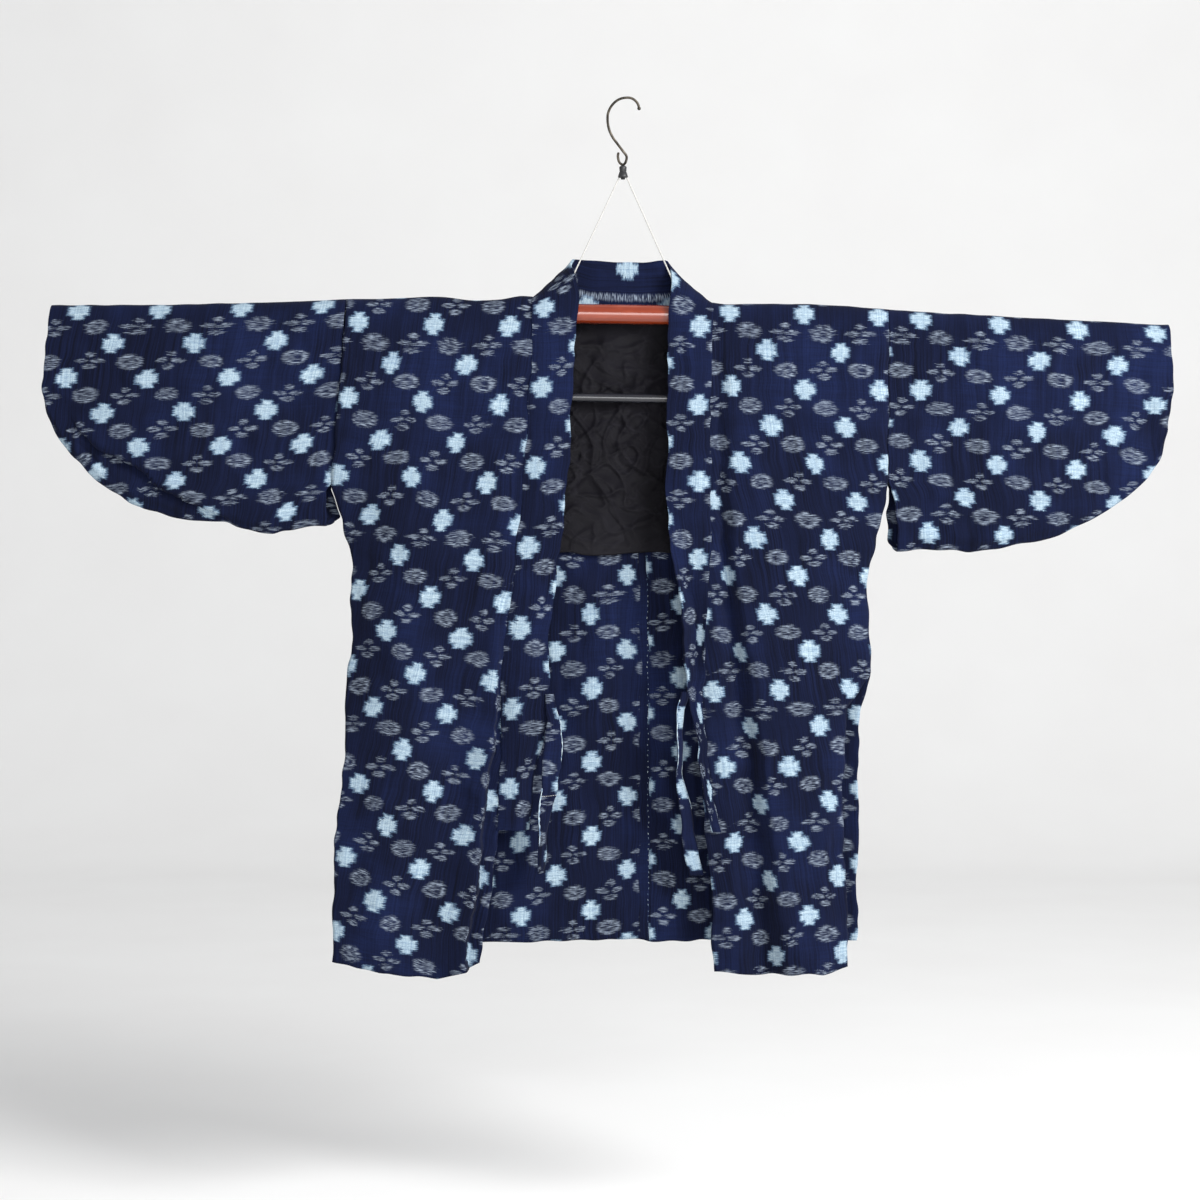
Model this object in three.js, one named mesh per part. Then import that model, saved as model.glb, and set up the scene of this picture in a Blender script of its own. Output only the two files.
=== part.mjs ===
// Noragi jacket of indigo kasuri cotton, hung open on a kimono hanger.
//
// Millimetres. +Z is up, the front of the jacket faces -Y, +X is to the viewer's right.
// The origin is the seat of the hook: the underside of its crown, where it hangs.
//
// Every cloth piece is a wall between two offsets of one surface. The surface of a body
// panel runs over the hanger's bar as a quarter ellipse and then down to the hem. Across
// the panel it goes through a few fold lines, each a short list of [z, x, depth] stations:
// height, place across, and how far the cloth stands off the bar's plane there.
import * as THREE from 'three';
import { mergeVertices } from 'three/addons/utils/BufferGeometryUtils.js';

// ---- driving sizes ----
const CLOTH = 1.5;              // cotton wall
const BAND_WALL = 3;            // collar band: cotton folded round its interlining
const LINING_WALL = 1;
const TIE_WALL = 1.6;
const SEAM_GAP = 0.3;           // between two pieces that a seam joins
const ARMHOLE_GAP = 0.8;        // the same, where both edges curve

const NECK_X = -4.6;            // middle of the neck and of the hanger
const BAR_Z = -247.7;           // axis of the bar under the hook
const BAR_TILT = THREE.MathUtils.degToRad(0.9);   // the right end hangs lower
const BAR_RADIUS = 11.2;
const BAR_LEFT = -285;          // ends of the thick tube
const BAR_RIGHT = 235;
const ARM_RADIUS = 6;           // thin arms that slide out of it
const LOW_ROD_DROP = 96.2;      // the second rod, below the bar
const LOW_ROD_RADIUS = 5;
const LINK_REACH = 168;         // the links that carry it, from the middle
const LINK_THICK = 5;
const LINK_HALF = 7;            // half a link's width

const BAND_WIDTH = 53;
const TOP_Z = -249;             // where the fold lines start, just under the bar's axis

// ---- smooth curves through stations ----
// Monotone cubic through keys (rising): it never swings past a station.
function smooth(keys, values, at) {
  const last = keys.length - 1;
  if (at <= keys[0]) return values[0];
  if (at >= keys[last]) return values[last];
  const slope = (i) => (values[i + 1] - values[i]) / (keys[i + 1] - keys[i]);
  const tangent = (i) => {
    if (i === 0) return slope(0);
    if (i === last) return slope(last - 1);
    const before = slope(i - 1);
    const after = slope(i);
    return before * after <= 0 ? 0 : (2 * before * after) / (before + after);
  };
  let i = 0;
  while (at > keys[i + 1]) i += 1;
  const span = keys[i + 1] - keys[i];
  const t = (at - keys[i]) / span;
  return values[i] * (1 + 2 * t) * (1 - t) ** 2 + values[i + 1] * t * t * (3 - 2 * t)
    + span * t * (1 - t) * (tangent(i) * (1 - t) - tangent(i + 1) * t);
}

// A fold line: stations [z, x, depth] from the top down, read at any height.
function foldLine(stations) {
  const falls = stations.map(([z]) => -z);
  const xs = stations.map(([, x]) => x);
  const depths = stations.map(([, , depth]) => depth);
  return (z) => ({ x: smooth(falls, xs, -z), depth: smooth(falls, depths, -z) });
}

function table(rows) {          // rows [key, value], keys rising
  return (at) => smooth(rows.map((r) => r[0]), rows.map((r) => r[1]), at);
}

const lerp = THREE.MathUtils.lerp;
const fractions = (n) => Array.from({ length: n + 1 }, (_, i) => i / n);

// ---- walls ----
// points[i][j] is a grid on the middle of the cloth; the wall stands half its thickness
// off each side. With ring, the last column joins the first.
function wall(points, thickness, ring = false) {
  const rows = points.length;
  const cols = points[0].length;
  const at = (i, j) => points[THREE.MathUtils.clamp(i, 0, rows - 1)][
    ring ? (j + cols) % cols : THREE.MathUtils.clamp(j, 0, cols - 1)];
  const vertices = [];
  for (const side of [0.5, -0.5]) {
    for (let i = 0; i < rows; i += 1) {
      for (let j = 0; j < cols; j += 1) {
        const down = at(i + 1, j).clone().sub(at(i - 1, j));
        const across = at(i, j + 1).clone().sub(at(i, j - 1));
        const normal = down.cross(across).normalize();
        vertices.push(...at(i, j).clone().addScaledVector(normal, side * thickness));
      }
    }
  }
  const id = (face, i, j) => face * rows * cols + i * cols + ((j + cols) % cols);
  const faces = [];
  const quad = (a, b, c, d) => faces.push(a, b, c, a, c, d);
  const lastCol = ring ? cols : cols - 1;
  for (let i = 0; i < rows - 1; i += 1) {
    for (let j = 0; j < lastCol; j += 1) {
      quad(id(0, i, j), id(0, i + 1, j), id(0, i + 1, j + 1), id(0, i, j + 1));
      quad(id(1, i, j), id(1, i, j + 1), id(1, i + 1, j + 1), id(1, i + 1, j));
    }
  }
  for (let j = 0; j < lastCol; j += 1) {
    quad(id(0, 0, j), id(0, 0, j + 1), id(1, 0, j + 1), id(1, 0, j));
    quad(id(0, rows - 1, j + 1), id(0, rows - 1, j), id(1, rows - 1, j), id(1, rows - 1, j + 1));
  }
  if (!ring) {
    for (let i = 0; i < rows - 1; i += 1) {
      quad(id(0, i + 1, 0), id(0, i, 0), id(1, i, 0), id(1, i + 1, 0));
      quad(id(0, i, cols - 1), id(0, i + 1, cols - 1), id(1, i + 1, cols - 1), id(1, i, cols - 1));
    }
  }
  const geometry = new THREE.BufferGeometry();
  geometry.setAttribute('position', new THREE.Float32BufferAttribute(vertices, 3));
  geometry.setIndex(faces);
  return facingOut(geometry);
}

// Turns a closed mesh right side out, by the sign of its volume.
function facingOut(geometry) {
  const p = geometry.attributes.position;
  const index = geometry.index;
  const [a, b, c] = [new THREE.Vector3(), new THREE.Vector3(), new THREE.Vector3()];
  let volume = 0;
  for (let i = 0; i < index.count; i += 3) {
    a.fromBufferAttribute(p, index.getX(i));
    b.fromBufferAttribute(p, index.getX(i + 1));
    c.fromBufferAttribute(p, index.getX(i + 2));
    volume += a.dot(b.cross(c));
  }
  if (volume < 0) {
    for (let i = 0; i < index.count; i += 3) {
      const first = index.getX(i);
      index.setX(i, index.getX(i + 1));
      index.setX(i + 1, first);
    }
  }
  return geometry;
}

function sealed(geometry) {     // keeps positions alone and shares their vertices
  geometry.deleteAttribute('normal');
  geometry.deleteAttribute('uv');
  return mergeVertices(geometry, 1e-4);
}

// ---- the top line: how high the cloth's crest stands over the hanger, by x ----
const crest = table([
  [-660, -237.8], [-490, -236.4], [-375, -233], [-283, -229.7], [-214, -228.5], [-172, -232],
  [-145, -231.5], [-118, -227.3], [-100, -228], [85, -233.5], [118, -236.6], [145, -235.8],
  [200, -236.6], [242, -238.6], [297, -242.3], [407, -249.2], [518, -255], [614, -259.6],
]);
const RISE = 14;                // crest of the body's cloth over the line where it falls plumb
const fallLine = (x) => crest(x) - RISE;

// ---- body panels: each line's stations are [z, x, depth] ----
const FRONT_LEFT = {
  edge: [[-249, -105, 13.5], [-348, -108, 17], [-441, -116, 19], [-530, -124, 21], [-590, -130, 22],
    [-645, -139, 22], [-690, -141, 20], [-759, -141, 17], [-836, -145, 16], [-909, -155, 17],
    [-991, -167, 18]],
  under: [[-249, -115, 13.5], [-441, -125, 20], [-590, -139, 24], [-658, -144, 23], [-690, -147, 19.5],
    [-730, -150, 16], [-787, -156, 14.5], [-884, -167, 14.5], [-997, -183, 15]],
  ridge: [[-249, -123, 13.5], [-441, -135, 21.5], [-590, -146, 27], [-658, -149, 30], [-690, -149, 31],
    [-730, -153, 33], [-787, -160, 34], [-884, -171, 34], [-999, -187, 34]],
  valley: [[-249, -167, 13.5], [-441, -178, 20], [-590, -184, 25], [-690, -186, 25], [-786, -194, 23],
    [-883, -203, 25], [-1007, -215, 27]],
  crown: [[-249, -236, 13.5], [-441, -241, 19], [-590, -247, 25], [-786, -258, 30], [-1004, -263, 32]],
  side: [[-249, -321, 13.5], [-352, -330, 14], [-404, -333, 13], [-441, -336, 10], [-461, -333, 4],
    [-489, -325, 0.9], [-530, -314, 0.9], [-582, -316, 0.9], [-622, -316, 0.9], [-659, -319, 0.9],
    [-691, -322, 9], [-736, -322, 14], [-822, -330, 16], [-896, -335, 16], [-989, -337, 16]],
};
const FRONT_RIGHT = {
  edge: [[-249, 97, 13.5], [-348, 95, 17], [-441, 94, 19], [-530, 93, 21], [-590, 90.5, 22],
    [-645, 89, 23], [-690, 86.5, 24], [-736, 85, 25], [-793, 86, 26], [-844, 90, 26],
    [-915, 97, 25], [-999, 101, 25]],
  roll: [[-249, 99.7, 13.5], [-405, 101, 18], [-530, 102.5, 21], [-608, 105.5, 25], [-681, 107, 27],
    [-754, 112, 28], [-851, 117, 28], [-1001, 128, 28]],
  valley: [[-249, 104, 13.2], [-405, 107, 14.5], [-530, 111, 15], [-608, 120, 14.5], [-681, 128, 14.5],
    [-755, 140, 14.5], [-852, 145, 14.5], [-964, 157, 14.5], [-1004, 160, 14.5]],
  bulge: [[-249, 118, 13.8], [-405, 122, 23], [-530, 128, 30], [-608, 139, 33], [-681, 149, 35],
    [-753, 161, 36], [-850, 170, 37], [-1003, 187, 38]],
  crown: [[-249, 188, 13.5], [-441, 187, 19], [-608, 198, 26], [-754, 211, 30], [-1002, 223, 31]],
  side: [[-249, 301, 13.5], [-352, 300, 14], [-404, 299, 13], [-439, 299, 10], [-457, 300, 4],
    [-473, 296, 0.9], [-496, 290, 0.9], [-530, 283, 0.9], [-565, 277, 0.9], [-634, 280, 0.9],
    [-659, 279, 0.9], [-679, 268, 7], [-708, 253, 14], [-755, 248, 16], [-804, 248, 16],
    [-900, 251, 16], [-994, 255, 16]],
};
const CENTRE_BACK = [[-245, 13, 15.3], [-440, 22, 17], [-530, 26, 18], [-692, 27, 20], [-971, 28, 18]];
const BACK_LEFT = {
  centre: CENTRE_BACK,
  fold: [[-245, -9, 15.3], [-440, 7, 17], [-599, 12, 21], [-750, 14, 24], [-970, 5, 22]],
  neck: [[-245, -50, 15.3], [-599, -45, 18], [-970, -59, 20]],
  shoulder: [[-245, -105.5, 13.2], [-281, -110, 15], [-440, -122, 15.5], [-599, -128, 18], [-973, -140, 16]],
  blade: [[-245, -215, 12.7], [-440, -226, 15], [-599, -227, 20], [-974, -238, 20]],
  side: [[-249, -321, 12.7], [-352, -330, 13], [-404, -333, 12], [-441, -336, 10], [-461, -333, 4],
    [-489, -325, 0.9], [-530, -314, 0.9], [-582, -316, 0.9], [-622, -316, 0.9], [-659, -319, 0.9],
    [-691, -322, 6], [-738, -322, 11], [-865, -330, 12], [-971, -336, 12]],
};
const BACK_RIGHT = {
  centre: CENTRE_BACK,
  neck: [[-245, 48, 15.3], [-440, 60, 16], [-750, 74, 18], [-971, 80, 18]],
  shoulder: [[-245, 97.5, 13.2], [-281, 104, 15], [-440, 120, 15.5], [-599, 132, 18], [-972, 144, 17]],
  blade: [[-245, 201, 12.7], [-599, 202, 19], [-971, 208, 20]],
  side: [[-249, 301, 12.7], [-352, 300, 13], [-404, 299, 12], [-439, 299, 10], [-457, 300, 4],
    [-473, 296, 0.9], [-496, 290, 0.9], [-530, 283, 0.9], [-565, 277, 0.9], [-634, 280, 0.9],
    [-659, 279, 0.9], [-680, 276.5, 6], [-709, 271.5, 11], [-773, 268, 12], [-969, 267.5, 12]],
};

// Rows down a panel: quarter turns over the bar, then shares of the fall to the hem.
const OVER_BAR = [0, 22.5, 45, 67.5].map(THREE.MathUtils.degToRad);
const BAND_END_SHARE = 0.793;   // the collar band ends here
const FALL_SHARES = [0, 0.03, 0.08, 0.14, 0.2, 0.26, 0.295, 0.33, 0.38, 0.44, 0.5, 0.55, 0.6, 0.65,
  0.72, BAND_END_SHARE, 0.86, 0.93, 1];

// A panel over its fold lines. facing is -1 at the front and 1 at the back. start(x) is the
// angle round the bar where the cloth begins, steps the columns between two fold lines, and
// seamGap how far the first edge stands off its fold line.
function bodyPanel({ lines, facing, start, steps, seamGap = 0 }) {
  const folds = Object.values(lines).map(foldLine);
  const hems = Object.values(lines).map((stations) => stations.at(-1)[0]);
  const tops = folds.map((fold) => fold(TOP_Z).x);
  const columns = [];
  steps.forEach((count, k) => fractions(count).slice(k ? 1 : 0).forEach((f) => columns.push(k + f)));
  // a list's value at place u: the fold line's number and the share to the next one
  const span = (list, u) => {
    const k = Math.min(Math.floor(u), list.length - 2);
    return lerp(list[k], list[k + 1], u - k);
  };
  // the point at place u and height z
  const pointAt = (u, z) => {
    const knots = folds.map((fold) => fold(z));
    const along = [0];
    for (let k = 1; k < knots.length; k += 1) {
      const chord = Math.hypot(knots[k].x - knots[k - 1].x, knots[k].depth - knots[k - 1].depth);
      along.push(along[k - 1] + chord);
    }
    const at = span(along, u);
    const gap = seamGap * (1 - at / along.at(-1));
    return {
      x: smooth(along, knots.map((q) => q.x), at) + gap,
      depth: smooth(along, knots.map((q) => q.depth), at),
    };
  };
  const grid = columns.map((u) => {
    const plumb = fallLine(span(tops, u));
    const first = start(span(tops, u));
    const hem = span(hems, u);
    const top = pointAt(u, plumb);
    const over = OVER_BAR.map((angle) => {
      const turn = lerp(first, Math.PI / 2, angle / (Math.PI / 2));
      return new THREE.Vector3(top.x, facing * top.depth * Math.sin(turn), plumb + RISE * Math.cos(turn));
    });
    const fall = FALL_SHARES.map((share) => {
      const z = lerp(plumb, hem, share);
      const { x, depth } = pointAt(u, z);
      return new THREE.Vector3(x, facing * depth, z);
    });
    return [...over, ...fall];
  });
  return wall(grid, CLOTH);
}

const CREST_GAP_ANGLE = 0.023;      // half the gap along the shoulder, seen from the bar's axis
const NECK_ANGLE = THREE.MathUtils.degToRad(72);
const NECK_LEFT = -105;             // where the neck's cut meets the crest
const NECK_RIGHT = 97;
const NECK_CURVE = 22;              // width of the rounded corner beside it
// The back is cut away at the neck: from the crest at the neck points it runs down and round.
function backStart(x) {
  const inside = Math.min(x - NECK_LEFT, NECK_RIGHT - x) / NECK_CURVE;
  return lerp(CREST_GAP_ANGLE, NECK_ANGLE, Math.sqrt(THREE.MathUtils.clamp(inside, 0, 1)));
}
const frontStart = () => CREST_GAP_ANGLE;

// ---- sleeves ----
// bodyEnd and cuff are the x of a sleeve's two ends by fall, the distance below the hook; hem
// is the z of its lower fold by x. The left sleeve's lower part turns under: tuck is how far
// up that reaches, and tuckLift how far the cloth above it hangs over, by x.
const CORNER_POWER = 1.7;       // the lower corner is a superellipse of this power
const SLEEVES = {
  left: {
    inward: 1,
    bodyEnd: table([[231, -321], [352, -330], [404, -333], [441, -336], [452, -342], [493, -345]]),
    cuff: table([[237, -660], [272, -665], [306, -668], [346, -669.3]]),
    corner: { x: -490, wide: 179, top: -346, bottom: -484.6 },
    hem: table([[-490, -484.6], [-462, -486], [-435, -497.3], [-407, -500.7], [-393, -496], [-345, -491.3]]),
    tuck: table([[-610, 44], [-570, 46], [-540, 36], [-500, 26], [-465, 10], [-445, 0], [-345, 0]]),
    tuckLift: table([[-640, 0], [-605, 9], [-520, 9], [-470, 5], [-445, 0]]),
  },
  right: {
    inward: -1,
    bodyEnd: table([[242, 301], [352, 300], [404, 299], [439, 299], [447, 303.6], [465, 309], [518, 310.5]]),
    cuff: table([[259, 623], [272, 625], [306, 626.5], [340, 626], [375, 621.5], [392, 619.5]]),
    corner: { x: 413, wide: 206.5, top: -392, bottom: -517.4 },
    hem: table([[310, -519], [413, -517.4]]),
    tuck: table([[300, 0], [620, 0]]),
    tuckLift: table([[300, 0], [620, 0]]),
  },
};
const SLEEVE_TOP_DEPTH = 13.2;  // half the sleeve's spread over the bar at the armhole
const CUFF_TOP_DEPTH = 9;
const CUFF_RISE = 9;
const SLEEVE_FOLD = 5;          // bend radius along the bottom seam
const SLEEVE_WAVE = 2;          // the sides wave slowly, by this much
const WAVE_PITCH = 38;
const WAVE_SHIFT = 60;          // between the waves of the front and the back
const ARMHOLE_FALL = 600;       // below every sleeve's end
const FOLD_TURNS = [0, 30, 60, 90].map(THREE.MathUtils.degToRad);
const CREST_TURNS = [90, 67.5, 45, 22.5].map(THREE.MathUtils.degToRad);
const CREST_Z = -240;           // near the top line, to read a sleeve's ends there
const SIDE_SHARES = [0.2, 0.36, 0.52, 0.68, 0.84];

function sleeve({ inward, bodyEnd, cuff, corner, hem, tuck, tuckLift }) {
  const cuffX = cuff(-corner.top);
  const straight = fractions(8).map((f) => lerp(bodyEnd(-hem(bodyEnd(ARMHOLE_FALL))), corner.x, f));
  const round = fractions(9).slice(1).map((f) => {
    const turn = f * Math.PI / 2;
    return {
      x: corner.x - inward * corner.wide * Math.sin(turn) ** (2 / CORNER_POWER),
      bottom: corner.top + (corner.bottom - corner.top) * Math.cos(turn) ** (2 / CORNER_POWER),
    };
  });
  const stations = [...straight.map((x) => ({ x, bottom: hem(x) })), ...round];
  const lowX = stations[0].x;
  return wall(stations.map(({ x, bottom }) => {
    const share = (x - lowX) / (cuffX - lowX);
    const rise = lerp(RISE, CUFF_RISE, share);
    const topDepth = lerp(SLEEVE_TOP_DEPTH, CUFF_TOP_DEPTH, share);
    const place = (z) => lerp(bodyEnd(-z) - inward * ARMHOLE_GAP, cuff(-z), share);
    const top = crest(place(CREST_Z));
    const from = bottom + SLEEVE_FOLD;
    const to = top - rise;
    const tuckTop = Math.max(from + 12, bottom + tuck(x) + 6);
    const heights = [from + 3, Math.max(from + 6, tuckTop - 9), tuckTop,
      ...SIDE_SHARES.map((f) => lerp(tuckTop, to, f))];
    const sides = [-1, 1].map((facing) => {
      const low = FOLD_TURNS.map((turn) => [
        facing * SLEEVE_FOLD * Math.sin(turn), bottom + SLEEVE_FOLD * (1 - Math.cos(turn))]);
      const high = CREST_TURNS.map((turn) => [
        facing * topDepth * Math.sin(turn), top - rise * (1 - Math.cos(turn))]);
      const middle = heights.map((z) => {
        const up = (z - from) / (to - from);
        const overhang = facing < 0 && z > bottom + tuck(x) ? tuckLift(x) * (1 - up) : 0;
        const wave = SLEEVE_WAVE * Math.sin(Math.PI * up) * Math.sin((x + facing * WAVE_SHIFT) / WAVE_PITCH);
        return [facing * (lerp(SLEEVE_FOLD + 3, topDepth, Math.sqrt(up)) + overhang) + wave, z];
      });
      return [...low, ...middle, ...high];
    });
    const loop = [...sides[0], [0, top], ...sides[1].slice(1).reverse()];
    return loop.map(([y, z]) => new THREE.Vector3(place(z), y, z));
  }), CLOTH, true);
}

// ---- collar: one long band, from the left front's end round the neck to the right's ----
// Down each front it lies on the panel's edge line; middle and free are its other two lines.
const BAND_LEFT = {
  free: foldLine([[-263, -57.4, 15], [-342, -60.7, 19], [-429, -66.4, 21], [-505, -74.4, 22],
    [-588, -83.5, 24], [-635, -88, 25], [-679, -89.2, 25], [-742, -96, 18], [-779, -105, 10],
    [-836, -111, 5]]),
  middle: foldLine([[-263, -81.4, 15], [-342, -84.7, 19.5], [-429, -91.5, 21.5], [-505, -98.4, 23],
    [-588, -106.3, 25], [-635, -113, 26], [-679, -115.4, 26], [-742, -117.8, 22],
    [-779, -122.4, 20], [-836, -127, 19]]),
};
const BAND_RIGHT = {
  free: foldLine([[-263, 48.2, 15], [-343, 47.2, 19], [-462, 46.6, 22], [-530, 52.2, 25],
    [-576, 61.2, 28], [-633, 65.7, 29], [-679, 69, 29.5], [-700, 73, 31], [-729, 79.5, 31.5],
    [-770, 84, 32], [-808, 89.5, 32], [-836, 97, 32]]),
  middle: foldLine([[-263, 73, 15], [-343, 71.8, 19.5], [-462, 70.5, 22.5], [-530, 72.9, 20],
    [-576, 75.9, 15], [-633, 79.9, 16], [-679, 78, 27], [-700, 80.5, 30], [-729, 84, 31],
    [-770, 88.5, 31.5], [-808, 94, 31.6], [-836, 101, 31.4]]),
};
// The right band's lower end leaves the panel's edge and lies over it: by how much, by height.
const RIGHT_SHIFT = foldLine([[-590, 0, 0], [-645, -0.7, 0.8], [-679, -1.5, 3], [-700, -0.5, 4.5],
  [-729, 3, 4.7], [-770, 7.5, 4.6], [-808, 11.5, 4.4], [-836, 14.5, 4.2]]);
// Over the shoulder and round the neck: how far out the seam edge is, its turn round the bar
// from the crest, and the tilt of the band from upright, in degrees; lean is how far back the
// free edge stands of the seam edge.
const ROUND_NECK = [
  { out: 99.6, turn: -86, tilt: 84, lean: -1 }, { out: 99.2, turn: -60, tilt: 70, lean: -2 },
  { out: 98.6, turn: -30, tilt: 58, lean: -1 }, { out: 98, turn: 0, tilt: 47, lean: 2 },
  { out: 93.5, turn: 30, tilt: 35, lean: 4 }, { out: 84, turn: 54, tilt: 23, lean: 4 },
  { out: 71, turn: 68, tilt: 12, lean: 3 }, { out: 46, turn: 69, tilt: 4, lean: 2.5 },
  { out: 20, turn: 69, tilt: 0, lean: 2.5 },
];
const BAND_TOP_DEPTH = 14.8;    // half the band's spread over the bar, at its middle layer
const NECK_SLOPE = 0.04;        // the free edge sinks a little more to the right
const LEFT_SPREAD = 1;          // how much of the band's width shows beside the neck
const RIGHT_SPREAD = 0.93;

function collar() {
  const across = [0, 0.25, 0.5, 0.75, 1];
  const bandRow = (edge, band, inward, shift, z) => {
    const [seam, middle, free] = [edge(z), band.middle(z), band.free(z)];
    const depth = seam.depth + shift(z).depth;
    const lean = Math.abs(middle.depth - depth) / Math.hypot(middle.depth - depth, middle.x - seam.x);
    const seamX = seam.x + shift(z).x + inward * (SEAM_GAP + lean * BAND_WALL / 2);
    const read = (values, f) => smooth([0, 0.5, 1], values, f);
    return across.map((f) => new THREE.Vector3(
      read([seamX, middle.x, free.x], f), -read([depth, middle.depth, free.depth], f), z));
  };
  const neckRow = ({ out, turn, tilt, lean }, inward, spread) => {
    const angle = THREE.MathUtils.degToRad(tilt);
    const round = THREE.MathUtils.degToRad(turn);
    const seamX = NECK_X - inward * out;
    const z = fallLine(seamX) + RISE * Math.cos(round);
    return across.map((f) => new THREE.Vector3(
      seamX + inward * f * spread * BAND_WIDTH * Math.sin(angle),
      BAND_TOP_DEPTH * Math.sin(round) + f * lean,
      z + f * (BAND_WIDTH * Math.cos(angle) - NECK_SLOPE * (seamX - NECK_X))));
  };
  const frontRows = (lines, band, inward, shift) => {
    const edge = foldLine(lines.edge);
    const plumb = fallLine(edge(TOP_Z).x);
    const hem = lines.edge.at(-1)[0];
    return FALL_SHARES.filter((share) => share > 0 && share <= BAND_END_SHARE)
      .map((share) => bandRow(edge, band, inward, shift, lerp(plumb, hem, share)));
  };
  const noShift = () => ({ x: 0, depth: 0 });
  return wall([
    ...frontRows(FRONT_LEFT, BAND_LEFT, 1, noShift).reverse(),
    ...ROUND_NECK.map((row) => neckRow(row, 1, LEFT_SPREAD)),
    ...ROUND_NECK.map((row) => neckRow(row, -1, RIGHT_SPREAD)).reverse(),
    ...frontRows(FRONT_RIGHT, BAND_RIGHT, -1, RIGHT_SHIFT),
  ], BAND_WALL);
}

// ---- lining over the inside of the back ----
const LINING = { left: -112, right: 102, bottom: -519, depth: 12.7, lowDepth: 13.4, sag: 4 };
const liningTop = table([[-112, -268], [-88, -262], [-70, -247], [60, -252], [80, -268], [102, -274]]);

function lining() {
  return wall(fractions(14).map((u) => {
    const x = lerp(LINING.left, LINING.right, u);
    const bottom = LINING.bottom - LINING.sag * Math.sin(Math.PI * u);
    return fractions(10).map((v) => new THREE.Vector3(
      x, lerp(LINING.depth, LINING.lowDepth, v), lerp(liningTop(x), bottom, v)));
  }), LINING_WALL);
}

// ---- ties: flat tapes that hang from the bands, turned by twist degrees from facing front ----
const TIES = {
  left: [
    { z: -684, x: -88, depth: 27.8, width: 10, twist: 0 },
    { z: -712, x: -84.5, depth: 28, width: 16, twist: 0 },
    { z: -735, x: -83, depth: 26, width: 22, twist: 0 },
    { z: -765, x: -85, depth: 23, width: 20, twist: 10 },
    { z: -795, x: -89, depth: 20, width: 17, twist: 15 },
    { z: -822, x: -93, depth: 18, width: 17, twist: 35 },
    { z: -846, x: -95, depth: 17, width: 17, twist: 60 },
    { z: -870, x: -97, depth: 16, width: 16, twist: 52 },
    { z: -889, x: -99, depth: 15, width: 16, twist: 60 },
  ],
  right: [
    { z: -680, x: 66, depth: 32.8, width: 9, twist: 0 },
    { z: -705, x: 62, depth: 32.4, width: 12, twist: 45 },
    { z: -736, x: 61, depth: 29, width: 14, twist: 62 },
    { z: -770, x: 61, depth: 25, width: 16, twist: 70 },
    { z: -805, x: 65, depth: 21, width: 16, twist: 45 },
    { z: -825, x: 68.5, depth: 19, width: 16, twist: 38 },
    { z: -845, x: 72, depth: 18, width: 16, twist: 20 },
    { z: -868, x: 76, depth: 17, width: 16, twist: 5 },
    { z: -891, x: 81, depth: 16, width: 16, twist: 0 },
  ],
};

const TIE_STEPS = 16;
function tie(stations) {
  const falls = stations.map((s) => -s.z);
  const read = (name, z) => smooth(falls, stations.map((s) => s[name]), -z);
  return wall(fractions(TIE_STEPS).map((f) => {
    const z = lerp(stations[0].z, stations.at(-1).z, f);
    const half = read('width', z) / 2;
    const turn = THREE.MathUtils.degToRad(read('twist', z));
    return [-1, 0, 1].map((side) => new THREE.Vector3(
      read('x', z) + side * half * Math.cos(turn), -read('depth', z) + side * half * Math.sin(turn), z));
  }), TIE_WALL);
}

// ---- hanger ----
const WIRE_RADIUS = 1.45;
const HOOK_ROUTE = [                // [x, y, z] along the wire, from the free tip to the end of its eye
  [15.5, 0, -13], [13.5, 0, -5.5], [8, 0, 0], [1, 0, 1.45], [-8, 0, -0.5], [-15.5, 0, -6.5],
  [-20.2, 0, -15], [-21.2, 0, -23], [-20, 0, -33], [-16, 0, -43], [-10, 0, -51.5], [-3.6, 0, -60],
  [0.6, 0.5, -66], [-0.5, 1.4, -72.6], [-3.5, 1.8, -75.3], [-7.6, 1.4, -72.6], [-9.3, 0, -66.5],
  [-8.6, -1.4, -61.5]];
const FERRULE_X = -3.5;
const FERRULE = [                   // [radius, z] from the top down
  [0, -77.1], [3.2, -77.1], [4.3, -78.2], [4, -83], [5.6, -88.2], [5.8, -90], [2.6, -90.2],
  [2.3, -92.6], [0, -92.6]];
const CORD_RADIUS = 0.9;
const CORD_TOP = { spread: 4.6, z: -90.95 };
const CORD_FOOT = { spread: 71, lift: 0.7 };       // lift is over the bar's top
const ARM_GAP = 0.6;                // between a thin arm and the end of the thick tube
const ARM_ENDS = { left: { x: -645, z: -245 }, right: { x: 602, z: -267 } };

function wireAlong(route, radius, sides, steps) {
  const circle = new THREE.Shape(fractions(sides).slice(1).map((f) => (
    new THREE.Vector2(radius * Math.cos(2 * Math.PI * f), radius * Math.sin(2 * Math.PI * f)))));
  const path = new THREE.CatmullRomCurve3(route.map((p) => new THREE.Vector3(...p)));
  return sealed(new THREE.ExtrudeGeometry(circle, { steps, bevelEnabled: false, extrudePath: path }));
}

function hook() {
  return wireAlong(HOOK_ROUTE, WIRE_RADIUS, 8, 64);
}

function ferrule() {
  const profile = FERRULE.map(([radius, z]) => new THREE.Vector2(radius, z)).reverse();
  const geometry = sealed(new THREE.LatheGeometry(profile, 20));
  geometry.rotateX(Math.PI / 2);
  geometry.translate(FERRULE_X, 0, 0);
  return geometry;
}

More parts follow.
